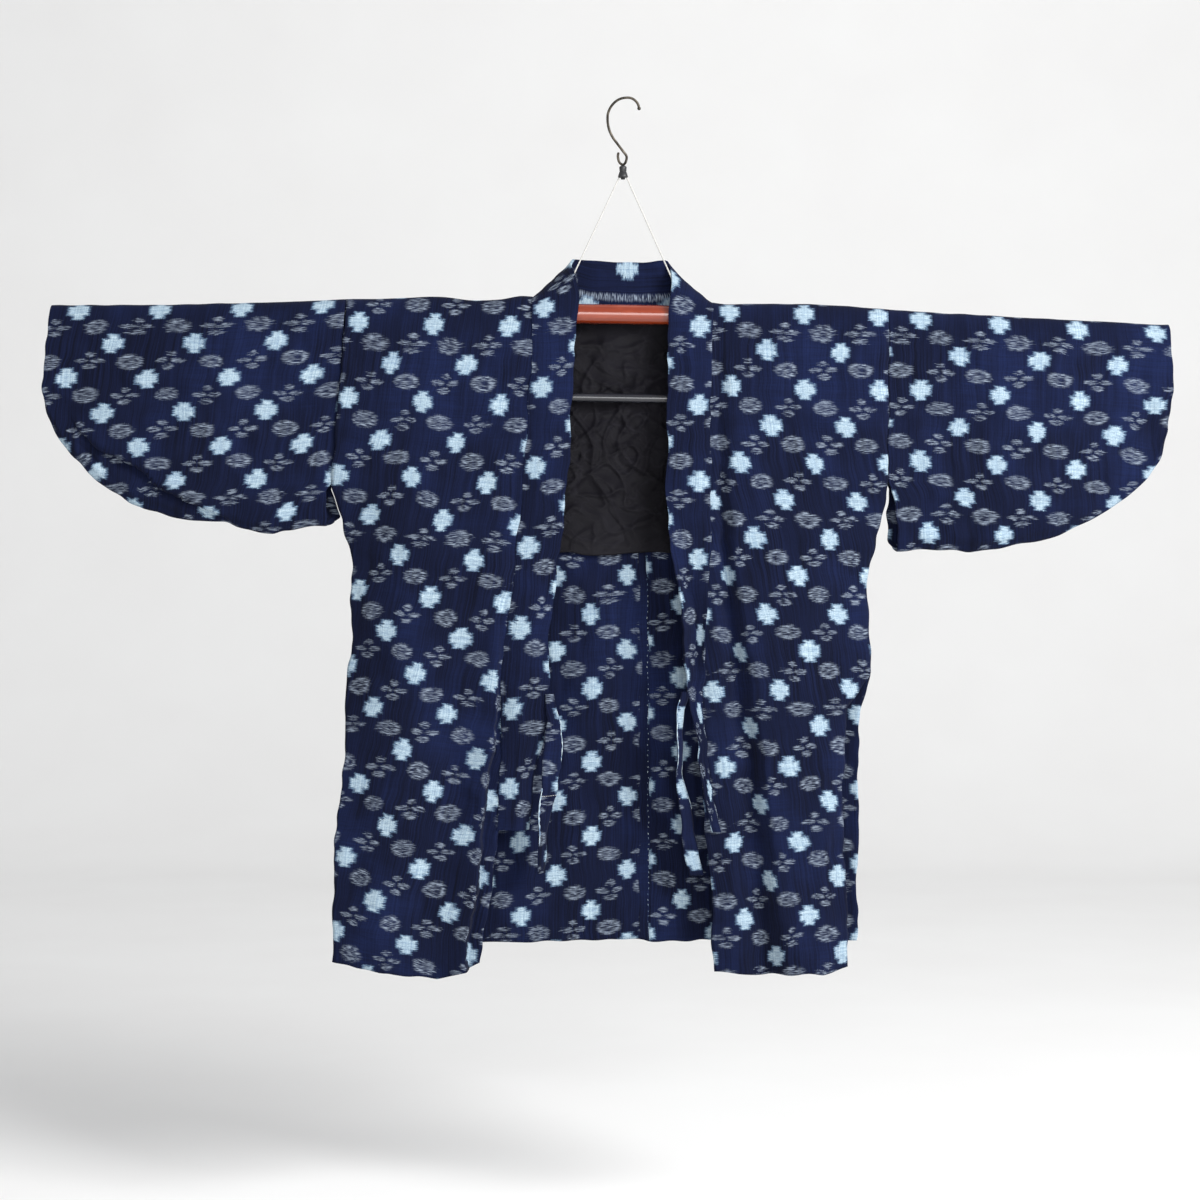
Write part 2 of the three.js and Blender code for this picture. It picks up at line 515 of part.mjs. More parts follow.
function straightRod(from, to, radius, sides) {
  const axis = new THREE.Vector3().subVectors(to, from);
  const geometry = sealed(new THREE.CylinderGeometry(radius, radius, axis.length(), sides));
  const upright = new THREE.Vector3(0, 1, 0);
  geometry.applyQuaternion(new THREE.Quaternion().setFromUnitVectors(upright, axis.clone().normalize()));
  const middle = from.clone().add(to).multiplyScalar(0.5);
  geometry.translate(middle.x, middle.y, middle.z);
  return geometry;
}

const barAxis = (x) => BAR_Z - Math.tan(BAR_TILT) * (x - NECK_X);

function cord(inward) {
  const footX = NECK_X - inward * CORD_FOOT.spread;
  return straightRod(
    new THREE.Vector3(FERRULE_X - inward * CORD_TOP.spread, 0, CORD_TOP.z),
    new THREE.Vector3(footX, 0, barAxis(footX) + BAR_RADIUS + CORD_FOOT.lift), CORD_RADIUS, 8);
}

function arm(innerX, end) {
  return straightRod(
    new THREE.Vector3(innerX, 0, barAxis(innerX)), new THREE.Vector3(end.x, 0, end.z), ARM_RADIUS, 20);
}

// A link hangs under the bar on a saddle and takes the end of the low rod; its plane is
// square to the bar.
function link() {
  const saddle = BAR_RADIUS + SEAM_GAP;
  const shoulder = Math.asin(LINK_HALF / saddle);
  const outline = new THREE.Shape();
  outline.absarc(0, 0, saddle, -Math.PI / 2 - shoulder, -Math.PI / 2 + shoulder, false);
  outline.absarc(0, -LOW_ROD_DROP, LINK_HALF, 0, -Math.PI, true);
  outline.closePath();
  const shape = { depth: LINK_THICK, bevelEnabled: false, curveSegments: 8 };
  const geometry = sealed(new THREE.ExtrudeGeometry(outline, shape));
  geometry.translate(0, 0, -LINK_THICK / 2);
  geometry.rotateX(Math.PI / 2);
  geometry.rotateZ(Math.PI / 2);
  return geometry;
}

// ---- materials ----
const finish = (colour, roughness, metalness = 0) => (
  new THREE.MeshStandardMaterial({ color: colour, roughness, metalness }));
const kasuri = finish(0x1b2350, 0.9);
const liningCloth = finish(0x26262a, 0.75);
const lacquer = finish(0xb85430, 0.25);
const blackTube = finish(0x2c2e36, 0.3);
const bronze = finish(0x3a352e, 0.35, 1);
const blackPlastic = finish(0x141414, 0.45);
const whiteCord = finish(0xe8e6e0, 0.8);

// ---- assembly ----
const jacket = new THREE.Group();
function piece(name, geometry, material, parent = jacket) {
  const mesh = new THREE.Mesh(geometry, material);
  mesh.name = name;
  parent.add(mesh);
  return mesh;
}

const PANELS = {
  front_left: { lines: FRONT_LEFT, facing: -1, start: frontStart, steps: [2, 2, 4, 3, 5] },
  front_right: { lines: FRONT_RIGHT, facing: -1, start: frontStart, steps: [1, 2, 3, 4, 5] },
  back_left: { lines: BACK_LEFT, facing: 1, start: backStart, steps: [2, 2, 5, 4, 4] },
  back_right: { lines: BACK_RIGHT, facing: 1, start: backStart, steps: [2, 5, 4, 4], seamGap: 2 * SEAM_GAP },
};
for (const [name, panel] of Object.entries(PANELS)) piece(name, bodyPanel(panel), kasuri);
for (const side of ['left', 'right']) {
  piece(`sleeve_${side}`, sleeve(SLEEVES[side]), kasuri);
  piece(`tie_${side}`, tie(TIES[side]), kasuri);
}
piece('collar', collar(), kasuri);
piece('lining_back', lining(), liningCloth);

piece('hanger_hook', hook(), bronze);
piece('hanger_ferrule', ferrule(), blackPlastic);
piece('hanger_cord_left', cord(1), whiteCord);
piece('hanger_cord_right', cord(-1), whiteCord);
piece('hanger_arm_left', arm(BAR_LEFT - ARM_GAP, ARM_ENDS.left), blackTube);
piece('hanger_arm_right', arm(BAR_RIGHT + ARM_GAP, ARM_ENDS.right), blackTube);

const rail = new THREE.Group();     // bar, low rod and links, level in their own frame
rail.position.set(NECK_X, 0, BAR_Z);
rail.rotation.y = BAR_TILT;
jacket.add(rail);
const rod = (radius, length, sides) => sealed(new THREE.CylinderGeometry(radius, radius, length, sides));
const bar = piece('hanger_bar', rod(BAR_RADIUS, BAR_RIGHT - BAR_LEFT, 40), lacquer, rail);
bar.rotation.z = -Math.PI / 2;
bar.position.x = (BAR_LEFT + BAR_RIGHT) / 2 - NECK_X;
const rodLength = 2 * LINK_REACH - LINK_THICK - 2 * SEAM_GAP;
const lowRod = piece('hanger_low_rod', rod(LOW_ROD_RADIUS, rodLength, 24), blackTube, rail);
lowRod.rotation.z = -Math.PI / 2;
lowRod.position.z = -LOW_ROD_DROP;
for (const [name, sign] of [['left', -1], ['right', 1]]) {
  piece(`hanger_link_${name}`, link(), blackPlastic, rail).position.x = sign * LINK_REACH;
}

export default jacket;
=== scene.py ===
# %% [markdown]
# # A kasuri jacket on its hanger
# The jacket hangs open over a kimono hanger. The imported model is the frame: it holds every
# piece at its real size, and each piece made here lies on the solid that it replaces.
# The places below are millimetres in that frame, as a pattern cutter would note them, and
# MM turns them into Blender's metres. Below, x runs to the viewer's right, y away from the
# viewer and z up from where the hook hangs.

import bpy
import numpy as np
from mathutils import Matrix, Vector


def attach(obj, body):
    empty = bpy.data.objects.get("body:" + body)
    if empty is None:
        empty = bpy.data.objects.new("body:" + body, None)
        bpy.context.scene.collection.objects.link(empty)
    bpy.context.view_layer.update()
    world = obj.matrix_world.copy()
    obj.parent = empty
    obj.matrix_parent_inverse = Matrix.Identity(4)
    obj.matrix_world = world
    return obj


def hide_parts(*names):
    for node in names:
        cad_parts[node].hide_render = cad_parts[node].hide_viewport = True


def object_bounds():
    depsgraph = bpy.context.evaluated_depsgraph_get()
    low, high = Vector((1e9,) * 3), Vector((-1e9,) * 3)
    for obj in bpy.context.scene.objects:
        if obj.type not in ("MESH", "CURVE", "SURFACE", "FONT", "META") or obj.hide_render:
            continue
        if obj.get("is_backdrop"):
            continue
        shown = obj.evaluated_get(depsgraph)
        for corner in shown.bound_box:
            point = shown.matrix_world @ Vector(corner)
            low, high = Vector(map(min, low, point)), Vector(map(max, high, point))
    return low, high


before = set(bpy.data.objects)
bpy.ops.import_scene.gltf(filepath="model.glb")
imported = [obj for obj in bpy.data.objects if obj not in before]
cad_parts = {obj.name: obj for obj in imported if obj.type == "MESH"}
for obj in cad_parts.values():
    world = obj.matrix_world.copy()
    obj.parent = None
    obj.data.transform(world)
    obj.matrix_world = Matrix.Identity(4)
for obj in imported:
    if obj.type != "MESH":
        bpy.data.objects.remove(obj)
MM = 0.001
cad_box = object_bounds()
print("frame", [round(v, 3) for corner in cad_box for v in corner])

# %% [markdown]
# ## The camera
# A jacket on a wall is seen straight on, from far enough away that the sleeves don't lean.
# A long lens 2.9 m away frames 1.38 m at the garment's own plane.

# %% Camera
CAMERA_AWAY = 2900
CAMERA_AIM = (-29.9, -576.2)            # x and z that the camera looks at
FRAME_WIDTH = 1380
SENSOR = 36.0


def add_object(name, data):
    """An object that carries a mesh, a lamp or a camera, linked into the scene."""
    obj = bpy.data.objects.new(name, data)
    bpy.context.scene.collection.objects.link(obj)
    return obj


camera_data = bpy.data.cameras.new("camera")
camera_data.sensor_width = SENSOR
camera_data.lens = SENSOR * CAMERA_AWAY / FRAME_WIDTH
camera = add_object("camera", camera_data)
camera.location = (CAMERA_AIM[0] * MM, -CAMERA_AWAY * MM, CAMERA_AIM[1] * MM)
camera.rotation_euler = (np.pi / 2, 0, 0)
bpy.context.scene.camera = camera
print("lens", round(camera_data.lens, 1))

# %% [markdown]
# ## Smooth lines through a few stations
# Cloth never swings past the place where a pin or a fold holds it. A monotone cubic has
# that nature: between two stations it stays between their values. It is worked out for
# whole arrays at once.

# %% Monotone cubic


def smooth(keys, values, at):
    """Value at `at` of the monotone cubic through (keys, values).

    On each span the curve is v0 (1+2t)(1-t)^2 + v1 t^2 (3-2t) + span t (1-t) (m0 (1-t) - m1 t),
    with each inner tangent m the harmonic mean of the slopes on its two sides, or 0 where
    they differ in sign. Keys and values are (..., K), at is (..., M).
    """
    keys = np.asarray(keys, float)
    values = np.asarray(values, float)
    at = np.asarray(at, float)
    span = np.diff(keys)
    slope = np.diff(values) / span
    product = slope[..., :-1] * slope[..., 1:]
    total = np.where(product > 0, slope[..., :-1] + slope[..., 1:], 1.0)
    inner = np.where(product > 0, 2 * product / total, 0.0)
    tangent = np.concatenate([slope[..., :1], inner, slope[..., -1:]], axis=-1)
    k = np.sum(at[..., None] > keys[..., None, 1:-1], axis=-1)

    def pick(table, index):
        if table.ndim == 1:
            return table[index]
        index = np.broadcast_to(index, table.shape[:-1] + index.shape[-1:])
        return np.take_along_axis(table, index, axis=-1)

    t = np.clip((at - pick(keys, k)) / pick(span, k), 0, 1)
    return (pick(values, k) * (1 + 2 * t) * (1 - t) ** 2
            + pick(values, k + 1) * t * t * (3 - 2 * t)
            + pick(span, k) * t * (1 - t) * (pick(tangent, k) * (1 - t) - pick(tangent, k + 1) * t))


def table(rows):
    """A function through rows of (key, value)."""
    keys, values = np.array(rows, float).T
    return lambda at: smooth(keys, values, at)


def fold_line(stations):
    """Place across and depth, as functions of height, from stations (z, x, depth)."""
    z, x, depth = np.array(stations, float).T
    return lambda at: (smooth(-z, x, -np.asarray(at)), smooth(-z, depth, -np.asarray(at)))


def one(function, at):
    """The value of a table at a single place, as a plain number."""
    return float(np.ravel(function(np.array([at], float)))[0])


def lerp(a, b, share):
    return a + (b - a) * share


print("half way:", one(table([(0, 0), (1, 1), (2, 1)]), 0.5))

# %% [markdown]
# ## A grid of points becomes a shell of cloth
# Every cloth piece here is one surface, given as a grid of points. The same three steps
# make it an object: quads between the points, a UV map that says where each point lies on
# the flat cloth in metres, and a Solidify modifier that gives the cloth its thickness.

# %% Shells from grids
CLOTH_THICK = 0.9
WAVES, WAVE_LEAST, WAVE_MORE = 6, 0.7, 0.9          # sines in a crumple, and their lengths in its size
WANDER_SEEDS = (31, 41)                             # across and up
WANDER_LONG, WANDER_SHORT = (64, 1.5), (25, 0.8)    # size and height of its waves
WANDER_FROM, WANDER_EASE, WANDER_LEAST = 240, 40, 0.33


def crumple(x, z, seed, size, height):
    """Soft uneven waves: a few sines in fixed directions, with lengths around `size`."""
    random = np.random.default_rng(seed)
    total = np.zeros_like(x)
    for turn, stretch, phase in random.uniform(0, 1, (WAVES, 3)):
        angle = np.pi * turn
        wave = 2 * np.pi / (size * (WAVE_LEAST + WAVE_MORE * stretch))
        total = total + np.sin((x * np.cos(angle) + z * np.sin(angle)) * wave + 6.3 * phase)
    return height * total / (WAVES / 2)


def settle(points):
    """The points, wandered in x and z by two soft waves that depend on their place alone.

    Every piece takes the same wander at the same spot, so seams stay shut. It is held to a
    third along the crest, where the cloth lies on the hanger.
    """
    x, z = points[..., 0], points[..., 2]
    hold = np.clip((-z - WANDER_FROM) / WANDER_EASE, WANDER_LEAST, 1)
    wander = [crumple(x, z, seed, *WANDER_LONG) + crumple(x, z, seed + 1, *WANDER_SHORT)
              for seed in WANDER_SEEDS]
    return points + np.stack([wander[0] * hold, 0 * x, wander[1] * hold], axis=-1)


def unit(vectors):
    return vectors / np.maximum(np.linalg.norm(vectors, axis=-1, keepdims=True), 1e-12)


def run(points):
    """Length along a route at each of its points, from 0."""
    return np.concatenate([[0], np.cumsum(np.linalg.norm(np.diff(points, axis=0), axis=-1))])


def grid_normals(points):
    """Unit normals of a grid: the cross product of the central differences down and across."""
    return unit(np.cross(np.gradient(points, axis=0), np.gradient(points, axis=1)))


def mesh_object(name, points, faces, flat=None, smooth=True):
    """An object from points (mm) and faces. `flat` is each point's place on the flat cloth (mm)."""
    mesh = bpy.data.meshes.new(name)
    mesh.from_pydata((points.reshape(-1, 3) * MM).tolist(), [], faces)
    if flat is not None:
        uv = mesh.uv_layers.new(name="cloth")
        uv.data.foreach_set("uv", (flat.reshape(-1, 2) * MM)[np.ravel(faces)].ravel())
    mesh.polygons.foreach_set("use_smooth", np.full(len(faces), smooth))
    mesh.update()
    return add_object(name, mesh)


def quads_between(index, after):
    """Quads over a table of point numbers, each joined to the one below and the one after."""
    return np.stack([index[:-1], index[1:], after[1:], after[:-1]], axis=-1).reshape(-1, 4).tolist()


def grid_mesh(name, points, flat):
    """An object from a grid of points and their places on the flat cloth."""
    index = np.arange(points.shape[0] * points.shape[1]).reshape(points.shape[:2])
    return mesh_object(name, points, quads_between(index[:, :-1], index[:, 1:]), flat)


def solidify(obj, thickness):
    shell = obj.modifiers.new("thickness", "SOLIDIFY")
    shell.thickness = thickness * MM
    shell.offset = 0
    return obj


def grid_area(points):
    """Area in square metres: half the cross product of each quad's diagonals."""
    diagonals = points[1:, 1:] - points[:-1, :-1], points[1:, :-1] - points[:-1, 1:]
    return float(np.linalg.norm(np.cross(*diagonals), axis=-1).sum() / 2 * MM * MM)


# %% [markdown]
# ## The ties
# Two flat tapes hang from the lower ends of the band, twisted and soft. The stations
# are the ones that carry the solid tapes, and each row across is bowed into a shallow cup.

# %% Tie stations: z, x, depth, width, twist in degrees
TIES = {
    "left": [(-684, -88, 27.8, 10, 0), (-712, -84.5, 28, 16, 0), (-735, -83, 26, 22, 0),
        (-765, -85, 23, 20, 10), (-795, -89, 20, 17, 15), (-822, -93, 18, 17, 35),
        (-846, -95, 17, 17, 60), (-870, -97, 16, 16, 52), (-889, -99, 15, 16, 60)],
    "right": [(-680, 66, 32.8, 9, 0), (-705, 62, 32.4, 12, 45), (-736, 61, 29, 14, 62),
        (-770, 61, 25, 16, 70), (-805, 65, 21, 16, 45), (-825, 68.5, 19, 16, 38),
        (-845, 72, 18, 16, 20), (-868, 76, 17, 16, 5), (-891, 81, 16, 16, 0)],
}
TIE_ROWS = 90
TIE_COLUMNS = 9
TIE_CUP = 0.9                   # the tape's middle stands this far off its edges
TIE_MOTIF = {"left": (14, 22), "right": (2, 30)}      # where its first cross lies, mm


def tie_points(stations):
    """The tape: at height z a short line across, turned by the twist, bowed by a parabola."""
    z, x, depth, width, twist = np.array(stations, float).T
    falls = -z
    at = np.linspace(falls[0], falls[-1], TIE_ROWS)
    half = smooth(falls, width, at)[:, None] / 2
    turn = np.radians(smooth(falls, twist, at))[:, None]
    side = np.linspace(-1, 1, TIE_COLUMNS)[None, :]
    cup = TIE_CUP * (1 - side ** 2)
    points = np.stack([
        smooth(falls, x, at)[:, None] + side * half * np.cos(turn) + cup * np.sin(turn),
        -smooth(falls, depth, at)[:, None] + side * half * np.sin(turn) - cup * np.cos(turn),
        np.broadcast_to(-at[:, None], (TIE_ROWS, TIE_COLUMNS))], axis=-1)
    flat = np.stack(np.broadcast_arrays(side * half, -at[:, None]), axis=-1)
    return points, flat


ties, tie_grids = {}, {}
for side_name, stations in TIES.items():
    points, flat = tie_points(stations)
    points = settle(points)
    tie_grids[side_name] = points
    flat = flat - [TIE_MOTIF[side_name][0], stations[0][0] - TIE_MOTIF[side_name][1]]
    tie = solidify(grid_mesh(f"cloth_tie_{side_name}", points, flat), CLOTH_THICK)
    route = points[:, TIE_COLUMNS // 2] * MM
    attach(tie, "root")
    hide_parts(f"tie_{side_name}")
    ties[side_name] = tie

# %% [markdown]
# ## The fold lines of the body
# A body panel goes over the bar in a quarter ellipse and falls to the hem. Across the
# panel it runs through a few fold lines. Each is a list of stations: height, place across
# and how far the cloth stands off the bar's plane. The smooth surface between them is what
# a hanging cloth does between its folds.

# %% Fold lines: z, x, depth
TOP_Z = -249
RISE = 14
CREST = [(-660, -237.8), (-490, -236.4), (-375, -233), (-283, -229.7), (-214, -228.5), (-172, -232),
         (-145, -231.5), (-118, -227.3), (-100, -228), (85, -233.5), (118, -236.6), (145, -235.8),
         (200, -236.6), (242, -238.6), (297, -242.3), (407, -249.2), (518, -255), (614, -259.6)]
crest = table(CREST)


def fall_line(x):
    """Height where the cloth leaves the bar and falls plumb."""
    return crest(x) - RISE


SIDE_LEFT_LOW = [(-441, -336, 10), (-461, -333, 4), (-489, -325, 0.9), (-530, -314, 0.9),
                 (-582, -316, 0.9), (-622, -316, 0.9), (-659, -319, 0.9)]
SIDE_RIGHT_LOW = [(-439, 299, 10), (-457, 300, 4), (-473, 296, 0.9), (-496, 290, 0.9),
                  (-530, 283, 0.9), (-565, 277, 0.9), (-634, 280, 0.9), (-659, 279, 0.9)]
CENTRE_BACK = [(-245, 13, 15.3), (-440, 22, 17), (-530, 26, 18), (-692, 27, 20), (-971, 28, 18)]

FOLDS = {
    "front_left": {
        "edge": [(-249, -105, 13.5), (-348, -108, 17), (-441, -116, 19), (-530, -124, 21),
            (-590, -130, 22), (-645, -139, 22), (-690, -141, 20), (-759, -141, 17), (-836, -145, 16),
            (-909, -155, 17), (-991, -167, 18)],
        "under": [(-249, -115, 13.5), (-441, -125, 20), (-590, -139, 24), (-658, -144, 23),
            (-690, -147, 19.5), (-730, -150, 16), (-787, -156, 14.5), (-884, -167, 14.5),
            (-997, -183, 15)],
        "ridge": [(-249, -123, 13.5), (-441, -135, 21.5), (-590, -146, 27), (-658, -149, 30),
            (-690, -149, 31), (-730, -153, 33), (-787, -160, 34), (-884, -171, 34), (-999, -187, 34)],
        "valley": [(-249, -167, 13.5), (-441, -178, 20), (-590, -184, 25), (-690, -186, 25),
            (-786, -194, 23), (-883, -203, 25), (-1007, -215, 27)],
        "crown": [(-249, -236, 13.5), (-441, -241, 19), (-590, -247, 25), (-786, -258, 30),
            (-1004, -263, 32)],
        "side": [(-249, -321, 13.5), (-352, -330, 14), (-404, -333, 13), *SIDE_LEFT_LOW,
            (-691, -322, 9), (-736, -322, 14), (-822, -330, 16), (-896, -335, 16), (-989, -337, 16)],
    },
    "front_right": {
        "edge": [(-249, 97, 13.5), (-348, 95, 17), (-441, 94, 19), (-530, 93, 21), (-590, 90.5, 22),
            (-645, 89, 23), (-690, 86.5, 24), (-736, 85, 25), (-793, 86, 26), (-844, 90, 26),
            (-915, 97, 25), (-999, 101, 25)],
        "roll": [(-249, 99.7, 13.5), (-405, 101, 18), (-530, 102.5, 21), (-608, 105.5, 25),
            (-681, 107, 27), (-754, 112, 28), (-851, 117, 28), (-1001, 128, 28)],
        "valley": [(-249, 104, 13.2), (-405, 107, 14.5), (-530, 111, 15), (-608, 120, 14.5),
            (-681, 128, 14.5), (-755, 140, 14.5), (-852, 145, 14.5), (-964, 157, 14.5),
            (-1004, 160, 14.5)],
        "bulge": [(-249, 118, 13.8), (-405, 122, 23), (-530, 128, 30), (-608, 139, 33), (-681, 149, 35),
            (-753, 161, 36), (-850, 170, 37), (-1003, 187, 38)],
        "crown": [(-249, 188, 13.5), (-441, 187, 19), (-608, 198, 26), (-754, 211, 30),
            (-1002, 223, 31)],
        "side": [(-249, 301, 13.5), (-352, 300, 14), (-404, 299, 13), *SIDE_RIGHT_LOW, (-679, 268, 7),
            (-708, 253, 14), (-755, 248, 16), (-804, 248, 16), (-900, 251, 16), (-994, 255, 16)],
    },
    "back_left": {
        "centre": CENTRE_BACK,
        "fold": [(-245, -9, 15.3), (-440, 7, 17), (-599, 12, 21), (-750, 14, 24), (-970, 5, 22)],
        "neck": [(-245, -50, 15.3), (-599, -45, 18), (-970, -59, 20)],
        "shoulder": [(-245, -105.5, 13.2), (-281, -110, 15), (-440, -122, 15.5), (-599, -128, 18),
            (-973, -140, 16)],
        "blade": [(-245, -215, 12.7), (-440, -226, 15), (-599, -227, 20), (-974, -238, 20)],
        "side": [(-249, -321, 12.7), (-352, -330, 13), (-404, -333, 12), *SIDE_LEFT_LOW,
            (-691, -322, 6), (-738, -322, 11), (-865, -330, 12), (-971, -336, 12)],
    },
    "back_right": {
        "centre": CENTRE_BACK,
        "neck": [(-245, 48, 15.3), (-440, 60, 16), (-750, 74, 18), (-971, 80, 18)],
        "shoulder": [(-245, 97.5, 13.2), (-281, 104, 15), (-440, 120, 15.5), (-599, 132, 18),
            (-972, 144, 17)],
        "blade": [(-245, 201, 12.7), (-599, 202, 19), (-971, 208, 20)],
        "side": [(-249, 301, 12.7), (-352, 300, 13), (-404, 299, 12), *SIDE_RIGHT_LOW, (-680, 276.5, 6),
            (-709, 271.5, 11), (-773, 268, 12), (-969, 267.5, 12)],
    },
}
print({name: len(lines) for name, lines in FOLDS.items()}, "fold lines")

# %% [markdown]
# ## Where the pattern lies
# The crosses of the kasuri stand on a lattice: one every repeat across the cloth, and
# every second row under the first again. Each piece was cut from its own place of the
# roll, so each has its own first cross, repeat and row. On the hung cloth the columns
# drift sideways as they go down, and the rows tilt. `lattice` undoes that drift, so the UV
# map is square to the threads again.

# %% The pattern's lattice
REPEAT = 88.0                   # on the flat cloth, from cross to cross along the weft
ROW = 41.0                      # from row to row along the warp


def lattice(across, fall, cross, repeat, row, drift, tilt):
    """Flat place (mm) of cloth at `across` and `fall`.

    Across: (across - first cross - drift(fall)) / repeat. Down: (fall below the first
    cross - tilt(fall) times the distance across) / row. Both are then in true repeats.
    """
    below = fall - cross[1]
    beside = across - cross[0]
    columns = (beside - table(drift)(below)) / repeat
    rows = (below - table(tilt)(below) * beside) / row
    return np.stack([columns * REPEAT, -rows * ROW], axis=-1)


LATTICES = {
    "front_left": dict(cross=(-219.7, 261), repeat=86.8, row=44.5,
                       drift=[(-40, 5), (0, 0), (170, -24), (700, -118)],
                       tilt=[(0, 0.03), (300, 0.08), (700, 0.16)]),
    "front_right": dict(cross=(203.6, 248.4), repeat=85.4, row=43.0,
                        drift=[(0, 0), (83, 1), (167, 10), (252, 28), (336, 41), (515, 67), (693, 90)],
                        tilt=[(0, 0.03), (340, 0.0), (700, -0.05)]),
    "back_left": dict(cross=(1.2, 547.4), repeat=82.5, row=42.7,
                      drift=[(-300, 0), (430, 0.5)], tilt=[(0, -0.03), (430, -0.09)]),
    "back_right": dict(cross=(22.0, 623.3), repeat=82.5, row=42.3,
                       drift=[(-300, -4), (0, 0), (350, 2)], tilt=[(0, 0.0), (350, 0.02)]),
    "sleeve_left": dict(cross=(-457.7, 12.5), repeat=89.4, row=39.7,
                        drift=[(0, 0), (260, -23)], tilt=[(0, 0.0), (260, 0.01)]),
    "sleeve_right": dict(cross=(431, 16.5), repeat=86.0, row=40.4,
                         drift=[(0, 0), (260, 2)], tilt=[(0, 0.0), (140, 0.0), (260, -0.07)]),
}

# %% [markdown]
# ## Creases
# Cotton that was folded in a drawer keeps soft creases, and a sleeve pulls small ones from
# the armhole. Each crease is a short stroke on the panel: where it starts and ends, how
# wide it is and how far it stands out (or in). Its height falls off as a bell across it,
# and as a half sine from end to end. The strokes are placed one by one.

# %% Strokes on a surface


def stroke(x, z, start, end, width, height):
    """Height of one crease at (x, z): bell across the stroke, half sine along it."""
    way = np.subtract(end, start)
    length = np.hypot(*way)
    along = ((x - start[0]) * way[0] + (z - start[1]) * way[1]) / length ** 2
    off = ((x - start[0]) * way[1] - (z - start[1]) * way[0]) / length
    return height * np.sin(np.pi * np.clip(along, 0, 1)) * np.exp(-(off / width) ** 2)


# start, end, width, height; the height is towards the outside of the jacket
CREASES = {
    "front_left": [((-215, -300), (-190, -420), 9, -1.6), ((-160, -330), (-140, -470), 8, 1.4),
        ((-300, -470), (-240, -560), 10, -2.0), ((-320, -520), (-270, -640), 9, 1.8),
        ((-310, -600), (-255, -720), 10, -1.8), ((-210, -690), (-185, -850), 11, -2.4),
        ((-250, -700), (-262, -900), 12, 1.8), ((-300, -760), (-316, -980), 11, -2.2),
        ((-225, -860), (-235, -1005), 9, -2.0), ((-278, -880), (-286, -1005), 9, 1.8),
        ((-320, -690), (-230, -700), 6, -1.2), ((-330, -380), (-250, -400), 8, 1.2),
        ((-326, -447), (-121, -469), 1.6, -0.9)],
    "front_right": [((190, -290), (215, -430), 9, -1.6), ((250, -300), (262, -420), 9, 1.4),
        ((290, -460), (225, -560), 10, -2.0), ((262, -500), (190, -620), 9, 1.8),
        ((262, -560), (216, -700), 10, -2.0), ((236, -700), (226, -900), 10, 1.8),
        ((204, -720), (212, -960), 9, -2.0), ((190, -880), (200, -1000), 8, 1.6),
        ((236, -860), (244, -995), 8, -1.8), ((150, -690), (255, -694), 6, -1.2),
        ((150, -420), (160, -560), 8, 1.6)],
    "back_left": [((-60, -560), (-80, -760), 12, 2.0), ((-20, -600), (-10, -860), 9, -1.8),
        ((-100, -700), (-120, -960), 12, -2.0), ((-180, -420), (-200, -700), 12, 2.2),
        ((-250, -500), (-270, -820), 12, -2.2), ((-290, -460), (-230, -540), 9, 1.8),
        ((-160, -640), (-180, -940), 10, 1.8), ((-60, -820), (-68, -960), 9, -1.6),
        ((-300, -720), (-250, -700), 7, -1.4), ((-90, -300), (-120, -460), 9, 1.6)],
    "back_right": [((60, -560), (76, -760), 10, 1.8), ((110, -480), (140, -760), 12, -2.0),
        ((180, -420), (190, -700), 12, 2.0), ((262, -470), (200, -570), 9, 1.8),
        ((230, -620), (240, -900), 10, -2.0), ((160, -760), (176, -960), 9, 1.8),
        ((100, -820), (110, -960), 9, -1.6), ((60, -300), (90, -440), 9, 1.4)],
}
CRUMPLE_SIZE, CRUMPLE_HEIGHT = 46, 1.25
OLD_FOLDS, OLD_FOLD_HEIGHT = (150, 90), 0.8         # spacings of the lines of the old folds
HEM_TURN = 13                                       # the hem is turned up this far
HEM_GROOVE, GROOVE_WIDTH = 1.1, 1.6
PUCKER, PUCKER_PITCH, PUCKER_WIDTH = 0.6, 2.6, 5


def ridges(x, z, seed, size, power):
    """Thin raised lines where a crumple crosses zero: (1 - its size) to a power."""
    return np.maximum(1 - np.abs(crumple(x, z, seed, size, 1.6)), 0) ** power


def worn(x, z, coarse, fine, old):
    """What wear and folding leave, from three seeds: crumple at two sizes and old fold lines."""
    total = crumple(x, z, coarse, CRUMPLE_SIZE, CRUMPLE_HEIGHT)
    total = total + crumple(x, z, fine, CRUMPLE_SIZE / 2.4, CRUMPLE_HEIGHT / 3)
    for size in OLD_FOLDS:
        total = total + OLD_FOLD_HEIGHT * ridges(x, z, old + size, size, 4)
    return total


def relief(name, x, z, above_hem):
    """Everything that stands out of a panel's smooth form: wear, strokes, hem groove, pucker."""
    seed = sum(map(ord, name))
    total = worn(x, z, seed, seed + 1, seed)
    for crease in CREASES[name]:
        total = total + stroke(x, z, *crease)
    from_turn = above_hem - HEM_TURN
    groove = HEM_GROOVE * np.exp(-(from_turn / GROOVE_WIDTH) ** 2)
    pucker = PUCKER * np.sin(x / PUCKER_PITCH) * np.exp(-(from_turn / PUCKER_WIDTH) ** 2)
    return total - groove + pucker


print(sum(map(len, CREASES.values())), "creases on the body")

# %% [markdown]
# ## The body panels
# Rows first go over the bar, where the angle grows from the crest to the plumb line, and
# then down in even shares of the fall. The back is cut away at the neck, so there its
# first angle is larger. Near its edges a panel keeps its exact form, because a seam holds
# it there, so the relief fades out.

